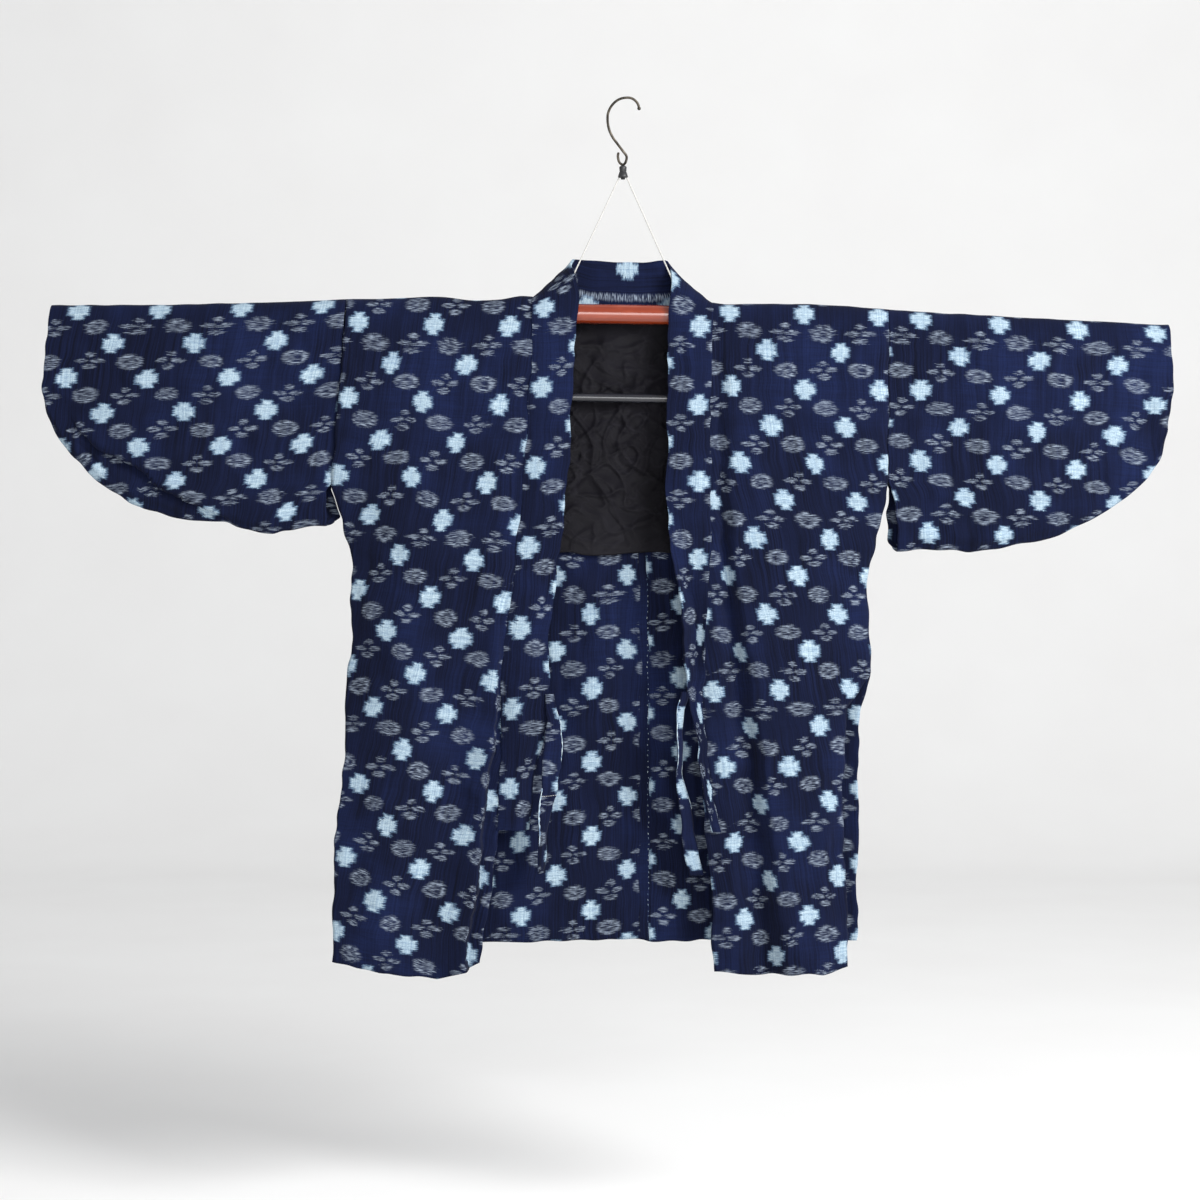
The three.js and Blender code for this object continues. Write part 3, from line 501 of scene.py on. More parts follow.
# %% Build a body panel
CREST_GAP = 0.023               # angle left open along the shoulder
NECK_ANGLE = np.radians(72)
NECK_LEFT, NECK_RIGHT, NECK_CURVE = -105, 97, 22
OVER_ROWS, FALL_ROWS = 10, 190
COLUMN_PITCH, COLUMNS_LEAST = 3.4, 5
EDGE_FADE = 16


def start_angle(x, facing):
    """Angle round the bar where the cloth begins: at the crest, or lower inside the neck."""
    inside = np.clip(np.minimum(x - NECK_LEFT, NECK_RIGHT - x) / NECK_CURVE, 0, 1)
    return np.full_like(x, CREST_GAP) if facing < 0 else lerp(CREST_GAP, NECK_ANGLE, np.sqrt(inside))


def body_panel(name, facing, anchor, seam_gap=0.0):
    """Points and flat places of one panel.

    At place u (fold line number plus share) and height z, the chord length along the fold
    lines is the parameter of two monotone cubics, one for x and one for depth.
    """
    lines = FOLDS[name]
    stations = list(lines.values())
    tops = np.array([one(fold_line(s), TOP_Z) for s in stations])
    hems = np.array([s[-1][0] for s in stations], float)
    widths = np.abs(np.diff([s[-1][1] for s in stations]))
    counts = np.maximum(np.ceil(widths / COLUMN_PITCH), COLUMNS_LEAST)
    u = np.concatenate([k + np.arange(int(n)) / n for k, n in enumerate(counts)] + [[len(counts)]])
    number = np.arange(len(stations))
    top_x = np.interp(u, number, tops)
    plumb = fall_line(top_x)
    z = lerp(plumb, np.interp(u, number, hems), np.linspace(0, 1, FALL_ROWS)[:, None])

    at_lines = [fold_line(s)(z) for s in stations]
    xs = np.stack([x for x, _ in at_lines], axis=-1)
    depths = np.stack([depth for _, depth in at_lines], axis=-1)
    chords = np.hypot(np.diff(xs), np.diff(depths))
    along = np.concatenate([np.zeros_like(chords[..., :1]), np.cumsum(chords, axis=-1)], axis=-1)
    k = np.minimum(np.floor(u).astype(int), len(stations) - 2)
    spans = [np.broadcast_to(index[None, :, None], z.shape + (1,)) for index in (k, k + 1)]
    low, high = (np.take_along_axis(along, index, axis=-1) for index in spans)
    at = lerp(low, high, (u - k)[None, :, None])
    share = at[..., 0] / along[..., -1]
    x = smooth(along, xs, at)[..., 0] + seam_gap * (1 - share)
    depth = smooth(along, depths, at)[..., 0]

    turn = lerp(start_angle(top_x, facing), np.pi / 2, (np.arange(OVER_ROWS) / OVER_ROWS)[:, None])
    over = np.stack([np.broadcast_to(x[0], turn.shape),
                     facing * depth[0] * np.sin(turn), plumb + RISE * np.cos(turn)], axis=-1)
    points = np.concatenate([over, np.stack([x, facing * depth, z], axis=-1)])

    pin = list(lines).index(anchor)
    flat_x = xs[..., pin] + (at[..., 0] - along[..., pin]) * np.sign(tops[-1] - tops[0])
    over_fall = -plumb - (np.pi / 2 - turn) * (RISE + depth[0]) / 2
    fall = np.concatenate([over_fall, -z])
    flat_x = np.concatenate([np.broadcast_to(flat_x[0], turn.shape), flat_x])
    flat = lattice(flat_x, fall, **LATTICES[name])

    above_hem = points[..., 2] - points[-1:, :, 2]
    from_edge = np.minimum(share, 1 - share) * along[..., -1]
    from_edge = np.concatenate([np.broadcast_to(from_edge[0], turn.shape), from_edge])
    from_crest = np.minimum(-points[..., 2] + crest(top_x)[None, :], EDGE_FADE * 2) / 2
    fade = np.clip(np.minimum(from_edge, from_crest) / EDGE_FADE, 0, 1)
    fade = fade * fade * (3 - 2 * fade)
    height = relief(name, points[..., 0], points[..., 2], above_hem) * fade
    outward = grid_normals(points)
    outward = outward * facing * np.sign(outward[FALL_ROWS // 2, len(u) // 2, 1])
    return points + outward * height[..., None], flat


PANELS = {
    "front_left": dict(facing=-1, anchor="crown"),
    "front_right": dict(facing=-1, anchor="crown"),
    "back_left": dict(facing=1, anchor="neck"),
    "back_right": dict(facing=1, anchor="centre", seam_gap=-0.6),
}
# each cloth piece, by the node of the solid that it replaces
cloth = {}


def dress(obj, node):
    """Hangs a cloth piece on the root body, hides the solid that it replaces and keeps it by that name.
    """
    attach(obj, "root")
    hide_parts(node)
    cloth[node] = obj


for name, settings in PANELS.items():
    points, flat = body_panel(name, **settings)
    points = settle(points)
    panel = solidify(grid_mesh(f"cloth_{name}", points, flat), CLOTH_THICK)
    dress(panel, name)
    print(name, points.shape, "area", round(grid_area(points), 4))

# %% [markdown]
# ## The sleeves
# A sleeve is one loom width folded along the top and sewn along the bottom, with a round
# corner at the cuff. Each station along its length is a ring: a tight fold at the bottom,
# a nearly flat front, a soft turn over the hanger's arm, and the back. The surface is left
# open along the bottom seam, so that the pattern can end there as it does on the cloth.
# The left sleeve's lower part is turned under, so its front hangs over in a slanting lip.
# A sleeve's ends are tables of x by fall, and its hem, tuck and lift are tables by x.

# %% Sleeve shapes
SLEEVES = {
    "left": dict(
        inward=1,
        body_end=table([(231, -321), (352, -330), (404, -333), (441, -336), (452, -342), (493, -345)]),
        cuff=table([(237, -660), (272, -665), (306, -668), (346, -669.3)]),
        corner=dict(x=-490, wide=179, top=-346, bottom=-484.6),
        hem=table([(-490, -484.6), (-462, -486), (-435, -497.3), (-407, -500.7), (-393, -496),
                   (-345, -491.3)]),
        tuck=table([(-610, 44), (-570, 46), (-540, 36), (-500, 26), (-465, 10), (-445, 0), (-345, 0)]),
        lift=table([(-640, 0), (-605, 9), (-520, 9), (-470, 5), (-445, 0)]),
        reach=((444, 452, 488), (0, 5, 17))),
    "right": dict(
        inward=-1,
        body_end=table([(242, 301), (352, 300), (404, 299), (439, 299), (447, 303.6), (465, 309),
                        (518, 310.5)]),
        cuff=table([(259, 623), (272, 625), (306, 626.5), (340, 626), (375, 621.5), (392, 619.5)]),
        corner=dict(x=413, wide=206.5, top=-392, bottom=-517.4),
        hem=table([(310, -519), (413, -517.4)]),
        tuck=np.zeros_like,
        lift=np.zeros_like,
        reach=((448, 475), (0, 9))),
}
REACH_WIDTH = 70                # below the armhole the back layer reaches in behind the front one
REACH_FROM, REACH_EASE = 2, 6   # depth where the back layer begins
CORNER_POWER = 1.7
ARMHOLE_GAP = 0.2
SHOULDER_Z, FAR_DOWN = -240, 600
SLEEVE_TOP_DEPTH, CUFF_TOP_DEPTH, CUFF_RISE = 13.2, 9, 9
SLEEVE_FOLD, FOLD_EASE, FOLD_WIDENS = 5, 6, 3
SLEEVE_WAVE, WAVE_PITCH, WAVE_SHIFT = 2, 38, 60
LIP_DROP, LIP_SOFT, LIP_BELOW = 1.0, 2.6, 2         # drop as a share of the lift
STRAIGHT_STATIONS, ROUND_STATIONS = 60, 56
FOLD_ROWS, CREST_ROWS, SIDE_ROWS, ROWS_CROWD = 7, 9, 72, 1.15
HALVES_APART = 400              # the back's crumple is taken from this far off the front's
BACK_SHARE = 0.55               # the back takes the front's strokes at about half their height

# start, end, width, height on the front
SLEEVE_CREASES = {
    "left": [((-352, -300), (-420, -430), 10, -1.8), ((-360, -420), (-470, -470), 9, 2.0),
        ((-400, -280), (-520, -330), 12, 1.4), ((-470, -330), (-560, -420), 12, -1.6),
        ((-560, -260), (-640, -330), 10, -1.4), ((-600, -330), (-640, -400), 8, 1.2),
        ((-350, -440), (-400, -494), 8, -1.8), ((-430, -400), (-520, -450), 9, -1.4),
        ((-520, -280), (-560, -350), 8, 1.2), ((-632, -392), (-594, -431), 3, -2.6),
        ((-600, -424), (-556, -477), 3, -2.8), ((-560, -300), (-575, -400), 7, 1.6)],
    "right": [((320, -320), (400, -430), 10, -1.8), ((318, -430), (420, -490), 9, 2.0),
        ((400, -300), (520, -340), 12, 1.4), ((450, -350), (560, -430), 12, -1.8),
        ((540, -290), (612, -350), 10, -1.4), ((560, -360), (606, -430), 8, 1.4),
        ((330, -470), (380, -514), 7, -1.6), ((420, -440), (520, -490), 9, -1.6),
        ((480, -280), (520, -350), 8, 1.2), ((330, -500), (470, -505), 5, 2.0),
        ((350, -489), (520, -478), 5, -2.0), ((500, -470), (590, -420), 5, 1.8),
        ((420, -500), (540, -452), 4, -1.6), ((590, -300), (608, -420), 6, -1.8)],
}


def sleeve_shell(side_name, shape):
    """Points and flat places of a sleeve.

    Round the corner x = corner - wide sin^(2/p), bottom = top + (bottom - top) cos^(2/p). On
    the side, depth grows with the square root of the height share, plus a slow wave.
    """
    inward, corner = shape["inward"], shape["corner"]
    low_end = one(shape["body_end"], -one(shape["hem"], one(shape["body_end"], FAR_DOWN)))
    straight = lerp(low_end, corner["x"], np.linspace(0, 1, STRAIGHT_STATIONS))
    turn = np.linspace(0, np.pi / 2, ROUND_STATIONS)[1:]
    round_x = corner["x"] - inward * corner["wide"] * np.sin(turn) ** (2 / CORNER_POWER)
    round_bottom = lerp(corner["top"], corner["bottom"], np.cos(turn) ** (2 / CORNER_POWER))
    x = np.concatenate([straight, round_x])
    bottom = np.concatenate([shape["hem"](straight), round_bottom])
    share = (x - low_end) / (one(shape["cuff"], -corner["top"]) - low_end)
    rise = lerp(RISE, CUFF_RISE, share)
    top_depth = lerp(SLEEVE_TOP_DEPTH, CUFF_TOP_DEPTH, share)

    def place(z, part):
        end = shape["body_end"](-z) - inward * ARMHOLE_GAP
        return lerp(end, shape["cuff"](-z), part)

    top = crest(place(np.full_like(x, SHOULDER_Z), share))
    columns = (x, bottom, share, rise, top_depth, top)
    xs, low, part, up_rise, depth_top, high = (values[:, None] for values in columns)
    lifted = low + SLEEVE_FOLD
    plumb = high - up_rise
    fold_turns = np.radians(np.linspace(0, 90, FOLD_ROWS))[None, :-1]
    crest_turns = np.radians(np.linspace(90, 0, CREST_ROWS))[None, 1:]
    up = np.linspace(0, 1, SIDE_ROWS)[None, :] ** ROWS_CROWD
    halves = []
    for facing in (-1, 1):
        z = lifted + up * (plumb - lifted)
        over = z - (low + shape["tuck"](xs))
        step = np.clip(over / LIP_SOFT + 0.5, 0, 1)
        lift = shape["lift"](xs) * (facing < 0)
        depth = lerp(SLEEVE_FOLD + FOLD_WIDENS, depth_top, np.sqrt(up)) + lift * (1 - up) * step
        depth = lerp(SLEEVE_FOLD, depth, np.clip((z - lifted) / FOLD_EASE, 0, 1))
        wave = SLEEVE_WAVE * np.sin(np.pi * up) * np.sin((xs + facing * WAVE_SHIFT) / WAVE_PITCH)
        z = z - LIP_DROP * lift * np.exp(-((over - LIP_BELOW) / LIP_SOFT) ** 2)
        y = np.concatenate([
            facing * SLEEVE_FOLD * np.sin(fold_turns) + 0 * low,
            facing * depth + wave,
            facing * depth_top * np.sin(crest_turns)], axis=1)
        z = np.concatenate([
            low + SLEEVE_FOLD * (1 - np.cos(fold_turns)), z,
            high - up_rise * (1 - np.cos(crest_turns))], axis=1)
        halves.append((y, z))
    y, z = (np.concatenate([before, behind[:, -2::-1]], axis=1) for before, behind in zip(*halves))
    half = halves[0][0].shape[1]
    across = place(z, np.broadcast_to(part, z.shape))
    near = np.clip(1 - np.abs(across - place(z, 0 * z)) / REACH_WIDTH, 0, 1) ** 2
    behind = np.clip((y - REACH_FROM) / REACH_EASE, 0, 1)
    across = across + inward * np.interp(-z, *shape["reach"]) * near * behind
    points = np.stack([across, y, z], axis=-1)

    steps = np.linalg.norm(np.diff(points, axis=1), axis=-1)
    length = np.concatenate([np.zeros((len(x), 1)), np.cumsum(steps, axis=1)], axis=1)
    fall = length[:, half - 1:half] - length
    flat = lattice(np.broadcast_to(xs, z.shape), fall, **LATTICES[f"sleeve_{side_name}"])

    facing = np.where(np.arange(z.shape[1]) < half, 1.0, BACK_SHARE)[None, :]
    height = worn(across, z + HALVES_APART * np.sign(y), 7 + inward, 17 + inward, inward)
    for crease in SLEEVE_CREASES[side_name]:
        height = height + facing * stroke(across, z, *crease)
    from_seam = np.minimum(length, length[:, -1:] - length)
    inset = np.minimum(np.minimum(from_seam, np.abs(fall) * 0.7) / EDGE_FADE,
                       np.minimum(part, 1 - part) * np.abs(x[-1] - x[0]) / EDGE_FADE)
    fade = np.clip(inset, 0, 1)
    outward = grid_normals(points)
    outward = outward * np.sign(-outward[len(x) // 4, half // 2, 1])
    return points + outward * (height * fade)[..., None], flat


for side_name, shape in SLEEVES.items():
    points, flat = sleeve_shell(side_name, shape)
    points = settle(points)
    sleeve = solidify(grid_mesh(f"cloth_sleeve_{side_name}", points, flat), CLOTH_THICK)
    dress(sleeve, f"sleeve_{side_name}")
    print(sleeve.name, points.shape, "area", round(grid_area(points), 4))

# %% [markdown]
# ## The collar
# One long band, folded lengthwise round its interlining. It runs up the left front's edge,
# turns over the shoulder, stands up round the back of the neck and comes down the right
# front. A few rows of places carry it, and a monotone cubic by length fills in between
# them. Down the fronts they are the rows of the solid. At the neck the corners stand about
# a centimetre further in than the solid's, with the seam edge dipped a little under the
# band, so that no light shows between the band and the lining.

# %% Collar stations
BAND_WALL = 3.0
BAND_WIDTH = 53
NECK_X = -4.6
SEAM_LAP = 2.6                                      # the band's seam edge lies under the front's
SEAM_DIP = 0.035                                    # share of its width that dips into the seam
BAND_LEFT = {
    "free": [(-263, -57.4, 15), (-342, -60.7, 19), (-429, -66.4, 21), (-505, -74.4, 22),
        (-588, -83.5, 24), (-635, -88, 25), (-679, -89.2, 25), (-742, -96, 18), (-779, -105, 10),
        (-836, -111, 5)],
    "middle": [(-263, -81.4, 15), (-342, -84.7, 19.5), (-429, -91.5, 21.5), (-505, -98.4, 23),
        (-588, -106.3, 25), (-635, -113, 26), (-679, -115.4, 26), (-742, -117.8, 22),
        (-779, -122.4, 20), (-836, -127, 19)],
}
BAND_RIGHT = {
    "free": [(-263, 48.2, 15), (-343, 47.2, 19), (-462, 46.6, 22), (-530, 52.2, 25), (-576, 61.2, 28),
        (-633, 65.7, 29), (-679, 69, 29.5), (-700, 73, 31), (-729, 79.5, 31.5), (-770, 84, 32),
        (-808, 89.5, 32), (-836, 97, 32)],
    "middle": [(-263, 73, 15), (-343, 71.8, 19.5), (-462, 70.5, 22.5), (-530, 72.9, 20),
        (-576, 75.9, 15), (-633, 79.9, 16), (-679, 78, 27), (-700, 80.5, 30), (-729, 84, 31),
        (-770, 88.5, 31.5), (-808, 94, 31.6), (-836, 101, 31.4)],
}
NO_SHIFT = [(-590, 0, 0), (-836, 0, 0)]
RIGHT_SHIFT = [(-590, 0, 0), (-645, -0.7, 0.8), (-679, -1.5, 3), (-700, -0.5, 4.5),
               (-729, 3, 4.7), (-770, 7.5, 4.6), (-808, 11.5, 4.4), (-836, 14.5, 4.2)]
# One row of places over a shoulder each: out from the neck's middle, turn round the bar,
# tilt from upright, lean, spread inwards (left, right) and fall outwards (left, right)
ROUND_NECK = np.array([
    (99.6, -86, 84, -1, 1, 0.93, 0.04, 0.04), (99.2, -60, 70, -2, 1, 0.94, 0.04, 0.04),
    (98.6, -30, 59, -1, 1, 0.98, 0.04, 0.02), (98, 0, 52, 2, 1, 1.06, 0.04, -0.03),
    (93.5, 30, 47, 4, 1, 1.1, 0.09, -0.1), (84, 54, 37, 4, 1, 1.1, 0.11, -0.14),
    (71, 68, 24, 3, 1, 1.1, 0.09, -0.13), (46, 69, 6, 2.5, 1, 1, 0.05, -0.09),
    (20, 69, 0, 2.5, 1, 1, 0.04, -0.06)])
BAND_TOP_DEPTH = 14.8
BAND_FROM, BAND_END = 22, -839.5                    # below the plumb line, and its last height
BAND_STATIONS = 30
BAND_ROWS, BAND_COLUMNS = 560, 17
ACROSS = np.array([0, 0.25, 0.5, 0.75, 1])
BAND_CROSS = {"left": -242.6, "right": -262.2, "neck": 2.3}     # z on each front, x behind
BAND_CROSS_IN = 14.5                                # how far a cross lies from the seam
ROW_LEFT, ROW_RIGHT, TWO_ROWS = 46.2, 44.3, 92      # the pattern's rows along the band
NECK_SPAN, NECK_ROWS = 55, 1.2                      # behind the neck they lie closer
NECK_SHIFT, NECK_SHIFT_FULL, NECK_SHIFT_EASE = -12.5, 1.6, 70   # and higher
BAND_BOW, BAND_RIPPLE = 0.44, (3, 38, 0.5)          # seed, size and height of the ripple


def band_rows(lines, band, inward, shift):
    """Rows down one front: the seam edge on the panel's own edge, then middle and free line."""
    edge = fold_line(lines["edge"])
    plumb = one(fall_line, one(edge, TOP_Z))
    z = np.linspace(plumb - BAND_FROM, BAND_END, BAND_STATIONS)
    (seam_x, seam_depth), (mid_x, mid_depth), (free_x, free_depth) = (
        line(z) for line in (edge, fold_line(band["middle"]), fold_line(band["free"])))
    shift_x, shift_depth = fold_line(shift)(z)
    seam_depth = seam_depth + shift_depth
    lean = np.abs(mid_depth - seam_depth) / np.hypot(mid_depth - seam_depth, mid_x - seam_x)
    seam_x = seam_x + shift_x + inward * (lean * BAND_WALL / 2 - SEAM_LAP)
    keys = np.tile([0, 0.5, 1], (len(z), 1))
    across = np.tile(ACROSS, (len(z), 1))
    return np.stack([
        smooth(keys, np.stack([seam_x, mid_x, free_x], -1), across),
        -smooth(keys, np.stack([seam_depth, mid_depth, free_depth], -1), across),
        np.broadcast_to(z[:, None], across.shape)], axis=-1)


def neck_rows(inward):
    """Rows over a shoulder: the seam edge turns round the bar, the band tilts off it."""
    out, turn, tilt, lean, *by_side = ROUND_NECK.T[:, :, None]
    spread, slope = by_side[inward < 0], by_side[2 + (inward < 0)]
    turn, tilt = np.radians(turn), np.radians(tilt)
    seam_x = NECK_X - inward * (out + SEAM_LAP)
    z = fall_line(seam_x) + RISE * np.cos(turn)
    f = ACROSS[None, :] - SEAM_DIP * (1 - ACROSS[None, :])
    return np.stack([
        seam_x + inward * f * spread * BAND_WIDTH * np.sin(tilt),
        BAND_TOP_DEPTH * np.sin(turn) + f * lean,
        z + f * (BAND_WIDTH * np.cos(tilt) - slope * (seam_x - NECK_X))], axis=-1)


def collar_shell():
    """The band as a fine grid, with its flat places: length along it and width across it."""
    control = np.concatenate([
        band_rows(FOLDS["front_left"], BAND_LEFT, 1, NO_SHIFT)[::-1],
        neck_rows(1), neck_rows(-1)[::-1],
        band_rows(FOLDS["front_right"], BAND_RIGHT, -1, RIGHT_SHIFT)])
    length = run(control.mean(axis=1))
    at = np.linspace(0, length[-1], BAND_ROWS)
    rows = smooth(length, np.moveaxis(control, 0, -1), at)          # 5, 3, rows
    fine = np.linspace(0, 1, BAND_COLUMNS)
    points = smooth(ACROSS, np.moveaxis(rows, 0, -1), fine)          # 3, rows, columns
    points = np.moveaxis(points, 0, -1)

    middle, half = points[:, BAND_COLUMNS // 2], len(at) // 2
    off_left, off_right = (np.abs(points[:, 0, 2] - BAND_CROSS[side]) for side in ("left", "right"))
    off_neck = np.abs(middle[:, 0] - BAND_CROSS["neck"]) + 1e6 * (middle[:, 1] <= 8)
    nearest = [off_left[:half].argmin(), off_neck.argmin(), half + off_right[half:].argmin()]
    left, centre, right = at[nearest]
    rows_left, rows_right = (2 * round(gap / TWO_ROWS - 0.5) + 1
                             for gap in (centre - left, right - centre))
    last = rows_left + rows_right
    along = np.interp(at, [0, left, centre - NECK_SPAN, centre, centre + NECK_SPAN, right, length[-1]],
                      [-left / ROW_LEFT, 0, rows_left - NECK_ROWS, rows_left, rows_left + NECK_ROWS,
                       last, last + (length[-1] - right) / ROW_RIGHT]) * ROW
    print("band rows", rows_left, rows_right, "over", round(centre - left), round(right - centre), "mm")
    raised = np.clip(NECK_SHIFT_FULL - np.abs(at - centre) / NECK_SHIFT_EASE, 0, 1) * NECK_SHIFT
    across = fine * BAND_WIDTH - BAND_CROSS_IN - raised[:, None]
    flat = np.stack(np.broadcast_arrays(across, along[:, None]), axis=-1)

    s, f = np.broadcast_arrays(at[:, None], fine)
    bulge = np.sin(np.pi * fine)
    ripple = crumple(s, 2.0 * f * BAND_WIDTH, *BAND_RIPPLE)
    height = BAND_BOW * bulge + ripple * np.maximum(bulge, 0) ** 0.5
    outward = grid_normals(points)
    outward = outward * -np.sign(outward[20, 8, 1])
    return points + outward * height[..., None], flat, length[-1], rows_left * ROW


BAND_THICK, BAND_EDGE = 2.4, 0.9
points, flat, band_length, neck_middle = collar_shell()
points = settle(points)
collar = solidify(grid_mesh("cloth_collar", points, flat), BAND_THICK)
round_edges = collar.modifiers.new("soft edges", "BEVEL")
round_edges.width = BAND_EDGE * MM
round_edges.segments = 2
round_edges.limit_method = "ANGLE"
dress(collar, "collar")
print("collar", points.shape, "length", round(band_length), "area", round(grid_area(points), 4))

# %% [markdown]
# ## The lining
# A thin black lining shows inside the upper back. It is lighter than the cotton and was
# folded small, so its creases are sharper and cross each other.

# %% Lining
LINING = dict(left=-112, right=102, bottom=-519, depth=12.7, low_depth=13.4, sag=4)
lining_top = table([(-112, -268), (-88, -262), (-70, -247), (60, -252), (80, -268), (102, -274)])
LINING_COLUMNS, LINING_ROWS = 130, 170
LINING_THICK = 0.5
LINING_CRUMPLE = (21, 40, 0.9)                      # seed, size, height
LINING_RIDGES = [(23, 80, 3.4), (24, 50, 2.6), (25, 32, 1.8)]
LINING_IN, LINING_OUT = -1.0, 5.0                   # how far its relief may go
LINING_CREASES = [
    ((-34, -266), (-20, -285), 4, 1.0), ((-42, -288), (-16, -317), 5, 1.3),
    ((10, -276), (21, -310), 4, 1.0), ((-6, -309), (36, -328), 4, 1.3),
    ((-5, -352), (30, -390), 6, 1.2), ((-46, -384), (-22, -370), 4, 0.9),
    ((-30, -400), (30, -372), 5, -0.9), ((-50, -430), (10, -455), 6, 1.2),
    ((0, -420), (40, -470), 6, -1.2), ((-60, -470), (-20, -505), 6, 1.2),
    ((20, -460), (44, -510), 5, 1.1), ((-20, -470), (6, -512), 5, -1.0),
    ((-90, -330), (-60, -480), 9, 1.2), ((60, -330), (80, -480), 9, -1.0)]
LINING_SHARP = 2.2                                  # each crease stands this much higher


def lining_shell():
    """A plane with a sagging lower edge, lifted by its creases and a fine crumple."""
    u = np.linspace(0, 1, LINING_COLUMNS)[None, :]
    v = np.linspace(0, 1, LINING_ROWS)[:, None]
    x = lerp(LINING["left"], LINING["right"], u) + 0 * v
    bottom = LINING["bottom"] - LINING["sag"] * np.sin(np.pi * u)
    z = lerp(lining_top(x), bottom + 0 * v, v + 0 * u)
    lift = crumple(x, z, *LINING_CRUMPLE) - 0.8
    for seed, size, height in LINING_RIDGES:
        lift = lift + height * ridges(x, z, seed, size, 3)
    for start, end, width, height in LINING_CREASES:
        lift = lift + stroke(x, z, start, end, width, height * LINING_SHARP)
    fade = np.sin(np.pi * np.clip(v, 0, 1)) ** 0.35 * np.clip((z + 266) / -14, 0, 1)
    y = lerp(LINING["depth"], LINING["low_depth"], v) - 0.8 * fade
    y = y - np.clip(lift * fade, LINING_IN, LINING_OUT)
    return np.stack([x, y, z], axis=-1), np.stack([x, z], axis=-1)


points, flat = lining_shell()
points = settle(points)
lining = solidify(grid_mesh("cloth_lining_back", points, flat), LINING_THICK)
dress(lining, "lining_back")
print("lining area", round(grid_area(points), 4))

# %% [markdown]
# ## The hanger
# The bar, the low rod, the hook's wire and the ferrule are all a circle carried along a
# path, so one function makes them: stations on an axis or a curve, a radius at each, and a
# ring of points round it. A cord is the same with two lobes that turn as they go, which is
# what two plies twisted together look like.

# %% Round things


def ring_mesh(name, centres, radii, across, up, sides, ply=0.0, pitch=1.0):
    """A closed skin of rings: centre + radius (across cos a + up sin a), poles at both ends.

    With a ply, the radius is 1 + ply cos 2(a - 2 pi s / pitch) times larger at length s.
    """
    centres, radii = np.asarray(centres, float), np.asarray(radii, float)
    angle = np.arange(sides) / sides * 2 * np.pi
    lobes = 1 + ply * np.cos(2 * (angle[None, :] - 2 * np.pi * run(centres)[:, None] / pitch))
    round_it = angle[None, :, None]
    spoke = across[:, None, :] * np.cos(round_it) + up[:, None, :] * np.sin(round_it)
    rings = centres[:, None, :] + spoke * (radii[:, None] * lobes)[..., None]
    index = np.arange(len(centres) * sides).reshape(-1, sides)
    after = np.roll(index, -1, axis=1)
    first, last = index.size, index.size + 1
    faces = [[a, b, c, d] for a, d, c, b in quads_between(index, after)]
    faces += [(first, b, a) for a, b in zip(index[0], after[0])]
    faces += [(last, a, b) for a, b in zip(index[-1], after[-1])]
    obj = mesh_object(name, np.concatenate([rings.reshape(-1, 3), centres[:1], centres[-1:]]), faces)
    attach(obj, "root")
    return obj


def along_curve(route, radius_at, name, count, sides, **ply):
    """A ring mesh along a Catmull-Rom curve through the route's points."""
    route = np.array(route, float)
    padded = np.concatenate([[2 * route[0] - route[1]], route, [2 * route[-1] - route[-2]]])
    at = np.linspace(0, len(route) - 1, count)
    k = np.minimum(at.astype(int), len(route) - 2)
    t = (at - k)[:, None]
    p0, p1, p2, p3 = (padded[k + n] for n in range(4))
    centres = 0.5 * (2 * p1 + (p2 - p0) * t + (2 * p0 - 5 * p1 + 4 * p2 - p3) * t ** 2
                     + (3 * p1 - p0 - 3 * p2 + p3) * t ** 3)
    tangent = unit(np.gradient(centres, axis=0))
    across = unit(np.cross(tangent, [0, 1, 0]))
    up = np.cross(tangent, across)
    length = run(centres)
    return ring_mesh(name, centres, radius_at(length, length[-1]), up, across, sides, **ply)


def turned(name, start, end, profile, sides):
    """A turned rod from start to end: rows of the profile are (distance, radius)."""
    start, end = np.array(start, float), np.array(end, float)
    way = unit(end - start)
    distance, radii = np.array(profile, float).T
    centres = start + distance[:, None] * way
    across = unit(np.cross(way, [0, 1, 0]))
    up = np.cross(way, across)
    lay = np.ones((len(centres), 1))
    return ring_mesh(name, centres, radii, lay * up, lay * across, sides)


def rounded_rod(length, radius, edge):
    """Profile of a rod with rounded ends: a quarter circle of `edge` at each."""
    turn = np.radians(np.linspace(0, 90, 7))
    near = [(edge * (1 - np.sin(a)), radius - edge * (1 - np.cos(a))) for a in turn[::-1]]
    middle = [(d, radius) for d in np.linspace(edge, length - edge, 12)[1:-1]]
    far = [(length - d, r) for d, r in near[::-1]]
    return near + middle + far


# %% The hook and its ferrule
WIRE_RADIUS = 1.45
TIP_RADIUS = 2.1
HOOK_ROUTE = [
    (15.5, 0, -13), (13.5, 0, -5.5), (8, 0, 0), (1, 0, 1.45), (-8, 0, -0.5), (-15.5, 0, -6.5),
    (-20.2, 0, -15), (-21.2, 0, -23), (-20, 0, -33), (-16, 0, -43), (-10, 0, -51.5), (-3.6, 0, -60),
    (0.6, 0.5, -66), (-0.5, 1.4, -72.6), (-3.5, 1.8, -75.3), (-7.6, 1.4, -72.6), (-9.3, 0, -66.5),
    (-8.6, -1.4, -61.5)]
WIRE_LEAST = 0.02
FERRULE_X, FERRULE_TOP, FERRULE_TALL = -3.5, -77.1, 15.5
FERRULE = [(0, 0.05), (0, 3), (0.3, 3.2), (1.1, 4.2), (1.4, 4.3), (5.9, 4.0), (6.2, 3.7), (6.8, 3.7),
           (7.1, 4.2), (11.1, 5.5), (12.4, 5.85), (12.9, 5.8), (13.1, 5.5), (13.1, 2.6), (15.4, 2.3),
           (FERRULE_TALL, 0.05)]


